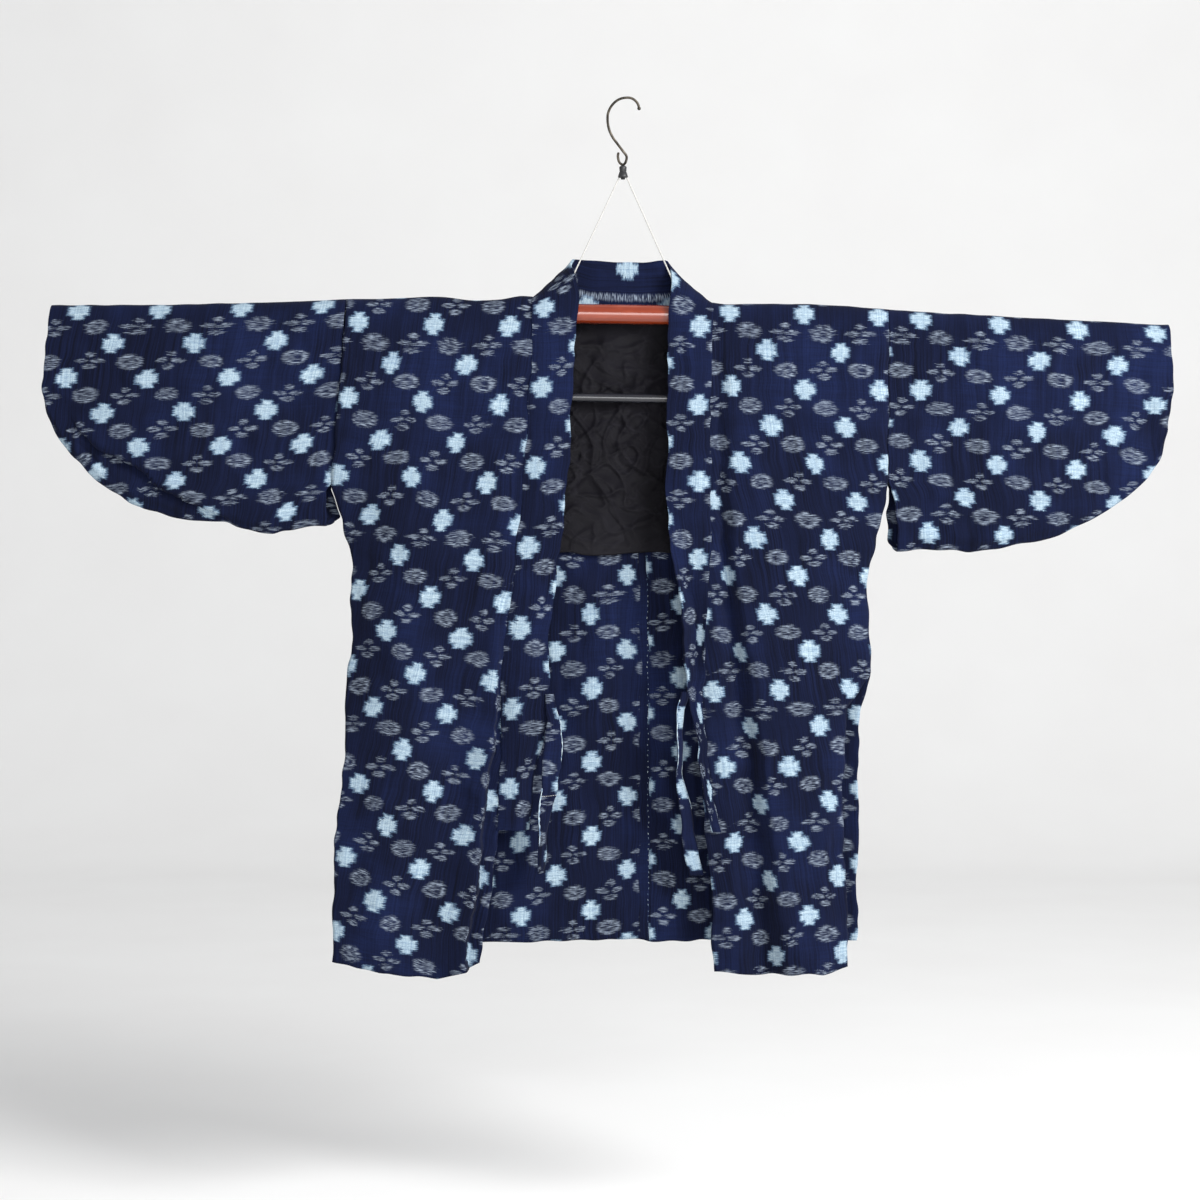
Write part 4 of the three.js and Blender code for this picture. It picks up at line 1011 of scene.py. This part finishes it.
def wire_radius(length, total):
    """Ball at the tip, then the wire, then a hemispherical end.

    Both round ends are sqrt(radius^2 - distance from the ball's middle^2).
    """
    ball = np.sqrt(np.maximum(TIP_RADIUS ** 2 - (length - TIP_RADIUS) ** 2, 0))
    body = np.where(length > TIP_RADIUS, WIRE_RADIUS, 0)
    past = np.maximum(length - total + WIRE_RADIUS, 0)
    tail = np.sqrt(np.clip(WIRE_RADIUS ** 2 - past ** 2, 1e-4, None))
    tail = np.maximum(tail, WIRE_LEAST) + (length < total / 2)
    return np.maximum(np.minimum(np.maximum(ball, body), tail), WIRE_LEAST)


hook = along_curve(HOOK_ROUTE, wire_radius, "wire_hook", 260, 16)
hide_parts("hanger_hook")
ferrule = turned("crimped_ferrule", (FERRULE_X, 0, FERRULE_TOP),
                 (FERRULE_X, 0, FERRULE_TOP - FERRULE_TALL), FERRULE, 40)
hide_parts("hanger_ferrule")
print("hook and ferrule", len(hook.data.vertices), len(ferrule.data.vertices))

# %% The bar, the low rod and the cords
BAR_Z, BAR_TILT, BAR_RADIUS = -247.7, np.radians(0.9), 11.2
BAR_LEFT, BAR_RIGHT = -285, 235
LOW_ROD_DROP, LOW_ROD_RADIUS, LOW_ROD_REACH = 96.2, 5.0, 165.2
CORD_RADIUS, CORD_PITCH = 0.9, 7.0
CORD_TOP = dict(spread=4.6, z=-90.95)
CORD_FOOT = dict(spread=71, lift=0.7)


def on_bar(reach, drop=0.0):
    """Point on the tilted bar's axis, or on the line `drop` below it."""
    return (NECK_X + reach * np.cos(BAR_TILT) - drop * np.sin(BAR_TILT), 0,
            BAR_Z - reach * np.sin(BAR_TILT) - drop * np.cos(BAR_TILT))


bar = turned("lacquered_bar", on_bar(BAR_LEFT - NECK_X), on_bar(BAR_RIGHT - NECK_X),
             rounded_rod(BAR_RIGHT - BAR_LEFT, BAR_RADIUS, 1.6), 72)
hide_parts("hanger_bar")
low_rod = turned("low_rod", on_bar(-LOW_ROD_REACH, LOW_ROD_DROP), on_bar(LOW_ROD_REACH, LOW_ROD_DROP),
                 rounded_rod(2 * LOW_ROD_REACH, LOW_ROD_RADIUS, 0.8), 48)
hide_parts("hanger_low_rod")
strings = []
for side_name, inward in (("left", 1), ("right", -1)):
    foot_x = NECK_X - inward * CORD_FOOT["spread"]
    foot_z = BAR_Z - np.tan(BAR_TILT) * (foot_x - NECK_X) + BAR_RADIUS + CORD_FOOT["lift"]
    top = (FERRULE_X - inward * CORD_TOP["spread"], 0, CORD_TOP["z"])
    route = lerp(np.array(top, float), np.array([foot_x, 0, foot_z]), np.linspace(0, 1, 12)[:, None])
    string = along_curve(route, lambda length, total: np.full_like(length, CORD_RADIUS * 0.93),
                         f"string_{side_name}", 300, 10, ply=0.13, pitch=CORD_PITCH)
    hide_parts(f"hanger_cord_{side_name}")
    strings.append(string)
print("bar from", on_bar(BAR_LEFT - NECK_X), "to", on_bar(BAR_RIGHT - NECK_X))

# %% [markdown]
# ## Stitches
# The centre back seam is sewn by hand, and its pale stitches show on the inside. A short
# row mends each tie. A stitch is a small capsule laid on the cloth. A seam's stitches are
# one mesh: the capsule's rings are worked out once, and each stitch is a copy with its own
# place, length and slant. The ties also have bare edges that the dye missed, made as
# narrow ribbons on their fronts.

# %% Stitches as one mesh
STITCH_PITCH, STITCH_LONG, STITCH_THICK = 6.4, 1.7, 0.24
STITCH_SIDES = 6
STITCH_RINGS = [(-0.5, 0.35), (-0.3, 1.0), (0.3, 1.0), (0.5, 0.35)]     # along it, and radius
STITCH_FLAT = 0.7                                   # its height as a share of its width
SEAM_SEWN = (-526, -960)                            # from and to this height
SEAM_ASIDE, SEAM_OFF = 1.6, 0.75                    # beside the seam line, and off the cloth
MEND_ROWS = {"left": 50, "right": 52}
MEND_PITCH, MEND_LONG, MEND_OFF = 2.6, 2.0, 1.3


def stitches(name, places, ways, longs):
    """Capsules at `places` along unit `ways`: place + way long reach + ring radius."""
    places, ways, longs = (np.asarray(a, float) for a in (places, ways, longs))
    across = unit(np.cross(ways, [0, 1, 0]))[:, None]
    up = STITCH_FLAT * np.cross(ways, across[:, 0])[:, None]
    angle = (np.arange(STITCH_SIDES) / STITCH_SIDES * 2 * np.pi)[None, :, None]
    ring = across * np.cos(angle) + up * np.sin(angle)
    vertices = np.stack([places[:, None] + (ways * longs[:, None] * reach)[:, None]
                         + ring * radius * STITCH_THICK for reach, radius in STITCH_RINGS], axis=1)
    index = np.arange(len(STITCH_RINGS) * STITCH_SIDES).reshape(-1, STITCH_SIDES)
    quads = np.array(quads_between(index, np.roll(index, -1, axis=1)))
    base = np.arange(len(places))[:, None] * index.size
    faces = (base[..., None] + quads).reshape(-1, 4).tolist()
    faces += (base + index[0]).tolist() + (base + index[-1, ::-1]).tolist()
    obj = mesh_object(name, vertices, faces, smooth=False)
    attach(obj, "root")
    return obj


def edge_strip(name, grid, side, first, last, wide):
    """A narrow ribbon on a tape's front: from its edge inwards, between two rows.

    Its width swells from its ends as the 0.4th power of a sine, and wavers by a third.
    """
    rows = grid[first:last]
    edge, inner = rows[:, 0 if side < 0 else -1], rows[:, 1 if side < 0 else -2]
    share = np.linspace(-0.15, 1, 4)[None, :, None]
    taper = np.sin(np.pi * np.linspace(0.04, 0.96, len(rows))) ** 0.4
    taper = taper * (0.7 + 0.3 * np.sin(np.arange(len(rows)) * 1.7))
    points = edge[:, None] + unit(inner - edge)[:, None] * share * wide * taper[:, None, None]
    toward = grid_normals(grid)[first:last, TIE_COLUMNS // 2][:, None]
    toward = toward * -np.sign(toward[..., 1:2])
    points = points + toward * (CLOTH_THICK / 2 + 0.25)
    strip = solidify(grid_mesh(name, points, points[..., ::2]), 0.35)
    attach(strip, "root")
    return strip


def back_seam_stitches():
    """Stitches down the seam line, each a little aside, slanted and of its own length."""
    random = np.random.default_rng(5)
    z = np.arange(*SEAM_SEWN, -STITCH_PITCH)
    z = z + random.uniform(-0.8, 0.8, len(z))
    x, depth = fold_line(CENTRE_BACK)(z)
    aside = random.uniform(-0.7, 0.7, len(z)) - SEAM_ASIDE
    slant = random.uniform(-0.25, 0.25, len(z))
    return stitches("seam_stitches", np.stack([x + aside, depth - SEAM_OFF, z], axis=-1),
                    np.stack([np.sin(slant), 0 * slant, np.cos(slant)], axis=-1),
                    STITCH_LONG * random.uniform(0.7, 1.5, len(z)))


def tie_stitches():
    """Pale stitches in a line across each tie, where it was mended."""
    places, ways = [], []
    for side_name, row in MEND_ROWS.items():
        line = tie_grids[side_name][row]
        way = line[-1] - line[0]
        for share in np.arange(0.12, 1, MEND_PITCH / np.linalg.norm(way)):
            places.append(line[0] + way * share + [0, -MEND_OFF, 0])
            ways.append(unit(way))
    return stitches("tie_stitches", places, ways, np.full(len(places), MEND_LONG))


seam_stitches, mend_stitches = back_seam_stitches(), tie_stitches()
# tie, which end, which edge, first row, last row, width
BARE_EDGES = [("left", "upper", 1, 8, 34, 1.1), ("left", "lower", -1, 46, 76, 2.2),
              ("right", "upper", -1, 4, 38, 1.6), ("right", "lower", 1, 30, 58, 1.1)]
selvedges = [edge_strip(f"selvedge_{side}_{end}", tie_grids[side], *where)
             for side, end, *where in BARE_EDGES]
print(len(seam_stitches.data.polygons) + len(mend_stitches.data.polygons), "faces of stitches")

# %% [markdown]
# ## Shader maths as expressions
# A material is a graph of nodes. Written out by hand it hides the formula, so a small class
# wraps a socket: adding or multiplying two wires makes the Math node that does it. `Ink` is
# the sheet a material is drawn on. Its one method `node` makes every other node.

# %% Wires and ink


class Wire:
    """A node's output socket that can be used in an expression."""

    def __init__(self, ink, socket):
        self.ink, self.socket = ink, socket

    def math(self, operation, *others, clamp=False):
        return self.ink.node("ShaderNodeMath", {"operation": operation, "use_clamp": clamp},
                             dict(enumerate((self, *others))))

    def __add__(self, other):
        return self.math("ADD", other)

    def __sub__(self, other):
        return self.math("SUBTRACT", other)

    def __rsub__(self, other):
        return self * -1 + other

    def __mul__(self, other):
        return self.math("MULTIPLY", other)

    def __truediv__(self, other):
        return self.math("DIVIDE", other)

    def __pow__(self, other):
        return self.math("POWER", other)

    def __abs__(self):
        return self.math("ABSOLUTE")

    __radd__, __rmul__ = __add__, __mul__

    def min(self, other):
        return self.math("MINIMUM", other)

    def max(self, other):
        return self.math("MAXIMUM", other)

    def sin(self):
        return self.math("SINE")

    def clip(self):
        """The value held between 0 and 1."""
        return self.math("ADD", 0.0, clamp=True)

    def wrapped(self, period):
        """The value folded into -period/2 .. period/2, to repeat a motif."""
        return self - (self / period).math("ROUND") * period

    def below(self, edge, soft):
        """1 where the value is under `edge`, falling to 0 over `soft`."""
        return ((edge - self) / soft + 0.5).clip()


class Ink:
    """One material: its node tree, its shader, and the nodes drawn on it."""

    def __init__(self, name):
        self.material = bpy.data.materials.new(name)
        self.material.use_nodes = True
        self.tree = self.material.node_tree
        self.shader = self.tree.nodes["Principled BSDF"]

    def node(self, kind, settings=(), values=(), output=0):
        """Any node: its kind, its settings, what its sockets get, and the socket it gives."""
        made = self.tree.nodes.new(kind)
        for key, value in dict(settings).items():
            setattr(made, key, value)
        for key, value in dict(values).items():
            self.put(made.inputs[key], value)
        return Wire(self, made.outputs[output])

    def put(self, socket, value):
        if isinstance(value, Wire):
            self.tree.links.new(value.socket, socket)
        else:
            socket.default_value = value

    def split(self, vector):
        """The three numbers of a vector."""
        first = self.node("ShaderNodeSeparateXYZ", values={0: vector}).socket
        return [Wire(self, socket) for socket in first.node.outputs]

    def noise(self, vector, scale, detail=2.0, rough=0.5):
        """Noise with its own scale each way: waves for each metre."""
        stretched = self.node("ShaderNodeMapping", {"vector_type": "POINT"},
                              {"Vector": vector, "Scale": scale})
        return self.node("ShaderNodeTexNoise", {}, {
            "Vector": stretched, "Scale": 1.0, "Detail": detail, "Roughness": rough})

    def tone(self, low, gain, vector, scale, *rest):
        """Noise drawn out to a mask: 0 up to `low`, then rising `gain` times as fast as it."""
        return ((self.noise(vector, scale, *rest) - low) * gain).clip()

    def uv(self):
        return self.node("ShaderNodeUVMap", {"uv_map": "cloth"})

    def place(self):
        return self.node("ShaderNodeTexCoord", output="Object")

    def mix(self, share, one, two):
        """A colour between two colours."""
        return self.node("ShaderNodeMix", {"data_type": "RGBA"}, {0: share, 6: one, 7: two}, output=2)

    def bump(self, height, distance, strength=1.0):
        """A normal from a height in units of `distance` metres."""
        return self.node("ShaderNodeBump", {}, {
            "Height": height, "Distance": distance, "Strength": strength})

    def finish(self, **sockets):
        for key, value in sockets.items():
            self.put(self.shader.inputs[key.replace("_", " ")], value)
        return self.material


def srgb(red, green, blue):
    """A colour picked on a screen, 0 to 255, as the linear RGBA that Blender works in."""
    c = np.array([red, green, blue]) / 255
    linear = np.where(c < 0.04045, c / 12.92, ((c + 0.055) / 1.055) ** 2.4)
    return (*linear.tolist(), 1.0)


def wear(obj, material):
    obj.data.materials.clear()
    obj.data.materials.append(material)


# %% [markdown]
# ## Indigo kasuri cotton
# Kasuri is woven from yarns that were tied and dyed before weaving, so a white motif has
# feathered edges: each warp and weft thread starts and ends its white stretch a little
# early or late. In the shader, thin noise stretched along the threads moves the place
# before the motif is looked up. The motifs are charted in millimetres from the middle of
# one repeat: a square cross, an open ring between the crosses, and a cluster of four
# lozenges, on a near-black indigo.

# %% Kasuri chart (mm)
CROSS_BOXES = [(5.2, 10.8), (6.8, 6.4), (10.8, 5.4)]       # half sizes: upright, corners, level
RING_HALF = (12.6, 8.0)
DIAMONDS = [(0, 7.4, 4.6, 2.9), (0, -7.4, 6.4, 3.1), (8.6, 0, 6.6, 2.6)]  # x, y, half sizes
WEFT_SLIP, WARP_SLIP, DRIFT, MARK_SLIP = 3.4, 1.8, 2.0, 3.6
NAVY, NAVY_DARK, NAVY_PALE = srgb(19, 26, 54), srgb(8, 11, 25), srgb(25, 36, 74)
CROSS_WHITE, CROSS_BLUE = srgb(170, 188, 197), srgb(98, 122, 147)
MARK_GREY = srgb(132, 143, 158)
SLIPPED_REACH, SLIPPED_ROW = 50, 12                 # half length of the row, and its place across
THREADS = 7000                                      # phase for each metre: a thread every 0.9 mm


def box_mask(dx, dy, half):
    """1 inside a rectangle of these half sizes, softer at its left and right ends."""
    return abs(dx).below(half[0], 4.8).min(abs(dy).below(half[1], 2.4))


def oval(dx, dy, half):
    """0 at the middle of an oval, 1 on its edge."""
    return ((dx / half[0]) ** 2 + (dy / half[1]) ** 2) ** 0.5


def kasuri_masks(ink, flat, weft, warp):
    """How white the cloth is under the crosses, and under the paler marks between them."""
    wander, sway = ((ink.noise(flat, scale, 1.0) - 0.5) * 2 for scale in ((9, 11, 1), (8, 7, 1)))
    u, v, _ = ink.split(flat)
    u = u * 1000 + weft * WEFT_SLIP + wander * DRIFT
    v = v * 1000 + warp * WARP_SLIP + sway * DRIFT

    row = (v / ROW).math("ROUND")
    dx, dy = (u - row * (REPEAT / 2)).wrapped(REPEAT), v - row * ROW
    cross = box_mask(dx, dy, CROSS_BOXES[0])
    for half in CROSS_BOXES[1:]:
        cross = cross.max(box_mask(dx, dy, half))

    between = (v / ROW - 0.5).math("ROUND") + 0.5
    my = v - between * ROW
    shoved = ink.tone(0.56, 9, flat, (2, 15, 1), 0.0)
    beside = u + weft * MARK_SLIP * (1 + shoved * 3) + between * (REPEAT / 2)
    around = oval(beside.wrapped(REPEAT), my, RING_HALF)
    ring = abs(around - 0.76).below(0.24, 0.4).max(around.below(0.3, 0.3) * 0.8)
    ring = ring.max(around.below(1.0, 0.2) * 0.45)
    cluster_x = (beside + REPEAT / 2).wrapped(REPEAT)
    marks = ring
    for x, y, wide, tall in DIAMONDS:
        there = oval(abs(cluster_x) - x if x else cluster_x, my - y, (wide, tall))
        marks = marks.max(there.below(1.0, 0.5) * (0.55 + there * 0.45))
    return cross, marks


def kasuri(name="indigo kasuri cotton", plain_from=None, slipped_at=None):
    """Cross, ring and diamond masks on threads that slip, over streaked indigo.

    Past `plain_from` mm across, the cloth is its plain selvedge. Near `slipped_at` mm
    along it, the marks have slipped together into one row of streaks.
    """
    ink = Ink(name)
    flat = ink.uv()
    across, down, _ = ink.split(flat)
    weft, warp = ((ink.noise(flat, scale, 2.0, 0.7) - 0.5) * 2
                  for scale in ((44, 1150, 1), (1000, 40, 1)))
    cross, marks = kasuri_masks(ink, flat, weft, warp)
    if plain_from is not None:
        patterned = (across * 1000 + weft).below(plain_from, 1.5)
        cross, marks = cross * patterned, marks * patterned
    if slipped_at is not None:
        near = abs(down * 1000 - slipped_at).below(SLIPPED_REACH, 8)
        row = abs(across * 1000 + weft * 4 - SLIPPED_ROW).below(3.5, 3)
        marks = (marks * (1 - near)).max(row * near)

    warp_tone = ink.tone(0.3, 2.4, flat, (640, 9, 1), 1.0)
    weft_tone = ink.tone(0.3, 2.4, flat, (16, 560, 1), 1.0)
    cloud = ink.tone(0.36, 3.0, flat, (9, 6, 1), 3.0, 0.6)
    base = ink.mix(warp_tone * 0.7 + cloud * 0.3, NAVY_DARK, NAVY)
    base = ink.mix(((cloud - 0.35) * 0.9).clip() * (0.3 + weft_tone * 0.7), base, NAVY_PALE)

    streaks = ink.tone(0.46, 8, flat, (110, 1250, 1), 1.0)
    dashes = ink.tone(0.42, 6, flat, (150, 1500, 1), 0.0)
    base = ink.mix((marks * (0.04 + streaks * 0.82)).clip(), base, MARK_GREY)
    base = ink.mix(((cross * 2.4).clip() * (0.25 + dashes * 0.65)).clip(), base, CROSS_BLUE)
    speck = ink.tone(0.3, 2.4, flat, (900, 700, 1), 1.0)
    whiteness = (warp_tone * 0.45 + weft_tone * 0.45 + speck * 0.4 - 0.05).clip()
    white = ink.mix(whiteness, CROSS_BLUE, CROSS_WHITE)
    base = ink.mix((cross * 2.2 - 0.75 - (1 - dashes) * 0.7).clip(), base, white)

    weave = (across * THREADS).sin() * 0.5 + (down * THREADS).sin() * 0.5
    slub = ink.noise(flat, (160, 900, 1), 1.0) + ink.noise(flat, (900, 160, 1), 1.0)
    soft_crease = ink.noise(flat, (30, 24, 1), 3.0, 0.55)
    height = weave * 0.1 + slub * 0.3 + soft_crease * 3.0
    return ink.finish(Base_Color=base, Roughness=0.9, Specular_IOR_Level=0.06,
                      Sheen_Weight=0.02, Sheen_Roughness=0.5,
                      Normal=ink.bump(height, 0.0007, 1.0))


kasuri_cotton = kasuri()
for obj in (*cloth.values(), *ties.values()):
    wear(obj, kasuri_cotton)
wear(cloth["back_left"], kasuri("indigo kasuri with selvedge", plain_from=16.0))
wear(cloth["collar"], kasuri("indigo kasuri of the band", slipped_at=neck_middle))
print(len(kasuri_cotton.node_tree.nodes), "nodes in the kasuri")

# %% [markdown]
# ## The other finishes
# The lining is a limp black twill with a faint shine. The bar is stained and varnished
# wood, the lower rod and the arms are dark lacquered tube, the hook is bronzed wire, and
# the ferrule is moulded black plastic. The smaller finishes share one plan: two colours
# mixed by a stretched noise, which also sets how rough a spot is, and a finer noise as the
# grain. `WORKED` holds their numbers.

# %% Lining, bar, tubes, wire, plastic and thread


def lining_finish():
    """Dark brown-black with a fine twill ramp, a soft sheen, and a painted highlight along thin crease
    lines.
    """
    ink = Ink("black lining twill")
    flat = ink.uv()
    x, z, _ = ink.split(flat)
    twill = ((x + z) * THREADS).sin()
    colour = ink.mix(ink.tone(0.3, 1.5, flat, (14, 11, 1), 3.0), srgb(13, 12, 16), srgb(27, 26, 32))
    # thin crease lines, lightened in colour as a painted highlight where the creases catch the light;
    # the same lines also lift the bump
    crease = abs(ink.noise(flat, (17, 24, 1), 3.0) - 0.5).below(0.0, 0.03)
    colour = ink.mix(crease * 0.35, colour, srgb(43, 42, 49))
    height = twill * 0.25 + ink.noise(flat, (60, 60, 1), 3.0) * 1.4 + crease * 1.2
    return ink.finish(Base_Color=colour, Roughness=0.5, Specular_IOR_Level=0.07, Sheen_Weight=0.01,
                      Sheen_Roughness=0.4, Normal=ink.bump(height, 0.0005, 0.7))


def varnished_bar():
    """Terracotta stain in long streaks, with worn spots, under varnish."""
    ink = Ink("terracotta varnished bar")
    where = ink.place()
    grain = ink.noise(where, (6, 240, 240), 3.0, 0.6)
    wornness = ink.noise(where, (30, 60, 60), 2.0)
    colour = ink.mix(((grain - 0.3) * 1.8).clip(), srgb(112, 36, 13), srgb(140, 55, 24))
    colour = ink.mix(((wornness - 0.58) * 3.0).clip() * 0.5, colour, srgb(176, 86, 56))
    return ink.finish(Base_Color=colour, Roughness=0.16 + wornness * 0.1, Specular_IOR_Level=0.4,
                      Coat_Weight=0.8, Coat_Roughness=0.06, Normal=ink.bump(grain, 0.0002, 0.5))


# tone: noise scale, detail, roughness, then where its ramp starts and how steep it is;
# rough: least, and how much more at tone 1; grain: noise scale, detail; bump: metres, strength
WORKED = {
    "dark lacquered tube": dict(
        tone=((14, 300, 300), 3.0, 0.6, 0.5, 2.0), colours=((24, 25, 31), (54, 56, 66)),
        rough=(0.14, 0.14), grain=((420, 420, 420), 1.0), bump=(0.0001, 0.5),
        more=dict(Specular_IOR_Level=0.7)),
    "bronzed wire": dict(
        tone=((120, 120, 90), 3.0, 0.65, 0.4, 2.6), colours=((46, 43, 40), (122, 114, 102)),
        rough=(0.34, 0.25), grain=((900, 900, 60), 1.0), bump=(0.0001, 0.5), more=dict(Metallic=1.0)),
    "black moulded plastic": dict(
        tone=((90, 90, 90), 2.0, 0.5, 0, 1), colours=((22, 22, 24), (40, 40, 43)),
        rough=(0.36, 0.2), grain=((700, 700, 700), 2.0), bump=(0.0001, 0.5), more={}),
    # its greyish blue also dresses the white seam thread, darker than the thread's own colour, as
    # painted shade
    "undyed edge": dict(
        tone=((260, 260, 190), 2.0, 0.5, 0.38, 4), colours=((92, 112, 138), (178, 192, 200)),
        rough=(0.9, 0), grain=None, bump=None, more=dict(Specular_IOR_Level=0.06)),
    "white cotton thread": dict(
        tone=((1400, 1400, 500), 2.0, 0.5, 0, 1), colours=((150, 149, 145), (206, 205, 201)),
        rough=(0.8, 0), grain=((1400, 1400, 500), 2.0), bump=(0.0002, 0.6),
        more=dict(Specular_IOR_Level=0.3)),
}


def worked(name):
    """A small finish: mix by (noise - low) gain, rough by least + more noise, grain as bump."""
    plan = WORKED[name]
    ink = Ink(name)
    where = ink.place()
    *texture, low, gain = plan["tone"]
    least, spread = plan["rough"]
    tone = ink.noise(where, *texture)
    sockets = dict(plan["more"], Roughness=least + tone * spread if spread else least)
    if plan["grain"]:
        sockets["Normal"] = ink.bump(ink.noise(where, *plan["grain"]), *plan["bump"])
    colours = [srgb(*colour) for colour in plan["colours"]]
    return ink.finish(Base_Color=ink.mix(((tone - low) * gain).clip(), *colours), **sockets)


wear(lining, lining_finish())
wear(bar, varnished_bar())
hidden = [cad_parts[f"hanger_{part}_{side}"]
          for part in ("arm", "link") for side in ("left", "right")]
for name, worn_by in {
        "dark lacquered tube": (low_rod, *hidden), "bronzed wire": (hook,),
        # the white seam stitches take the undyed edge's greyer colour, as painted shade on the thread
        "black moulded plastic": (ferrule,), "undyed edge": (seam_stitches, *selvedges),
        "white cotton thread": (*strings, mend_stitches)}.items():
    material = worked(name)
    for obj in worn_by:
        wear(obj, material)
print([m.name for m in bpy.data.materials])

# %% [markdown]
# ## The room
# A pale sheet runs along the floor and curves up into a wall far behind, so that the jacket
# can be walked round. The key is a large soft light in front, to the right and above. A
# weaker one near the camera opens the folds, a third washes the wall, brighter towards the
# top and the right, and the pale world fills the shadows.

# %% Floor, light and world
FLOOR_Z, SWEEP_FROM, SWEEP_BACK, SWEEP_TOP = -1300, -4500, 5200, 4500
SWEEP_RADIUS, SWEEP_HALF_WIDTH, SWEEP_STEPS = 1500, 6000, 24


def sweep():
    """A floor from y = SWEEP_FROM that turns up round a quarter circle into the wall."""
    turn = np.radians(np.linspace(0, 90, SWEEP_STEPS))
    y = np.concatenate([[SWEEP_FROM], SWEEP_BACK - SWEEP_RADIUS * (1 - np.sin(turn)), [SWEEP_BACK]])
    z = np.concatenate([[FLOOR_Z], FLOOR_Z + SWEEP_RADIUS * (1 - np.cos(turn)), [SWEEP_TOP]])
    x = np.array([-SWEEP_HALF_WIDTH, SWEEP_HALF_WIDTH])
    points = np.stack(np.broadcast_arrays(x[None, :], y[:, None], z[:, None]), axis=-1)
    return grid_mesh("studio_sweep", points, points[..., :2])


backdrop = sweep()
backdrop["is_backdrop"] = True
paper = Ink("pale studio paper")
paper_tone = paper.noise(paper.place(), (3, 3, 3), 2.0)
paper_colour = paper.mix(paper_tone, srgb(236, 235, 234), srgb(241, 241, 240))
wear(backdrop, paper.finish(Base_Color=paper_colour, Roughness=0.95, Specular_IOR_Level=0.1))


def soft_light(name, place, aim, size, watts):
    """A square area light at `place` that faces `aim`, all in metres."""
    data = bpy.data.lights.new(name, "AREA")
    data.size, data.energy = size, watts
    light = add_object(name, data)
    light.location = place
    light.rotation_euler = (Vector(aim) - Vector(place)).to_track_quat("-Z", "Y").to_euler()
    return light


key = soft_light("key softbox", (2.4, -2.5, 1.2), (0, 0, -0.55), 1.6, 200)
front = soft_light("front softbox", (0.3, -4.6, -0.2), (0, 0, -0.4), 1.9, 75)
wash = soft_light("wall wash", (1.0, 1.9, 3.2), (0.6, 5.2, -0.6), 3.0, 30)

world = bpy.data.worlds.new("pale room")
world.use_nodes = True
background = world.node_tree.nodes["Background"].inputs
background["Color"].default_value = (0.97, 0.98, 1.0, 1)
background["Strength"].default_value = 0.55
bpy.context.scene.world = world
bpy.context.scene.view_settings.view_transform = "Standard"
print("lights", key.data.energy, front.data.energy, wash.data.energy, "W")

# %% [markdown]
# ## Measure
# The frame's own box was kept at the start. The dressed jacket's box is measured again, and
# how far each side grew is printed, so that one can see whether anything outgrew the frame.

# %% Sizes and finish
made_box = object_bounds()
grown = [round(float(b - a) / MM, 1) for one_corner, two_corner in zip(cad_box, made_box)
         for a, b in zip(one_corner, two_corner)]
print("grown by (mm)", grown)
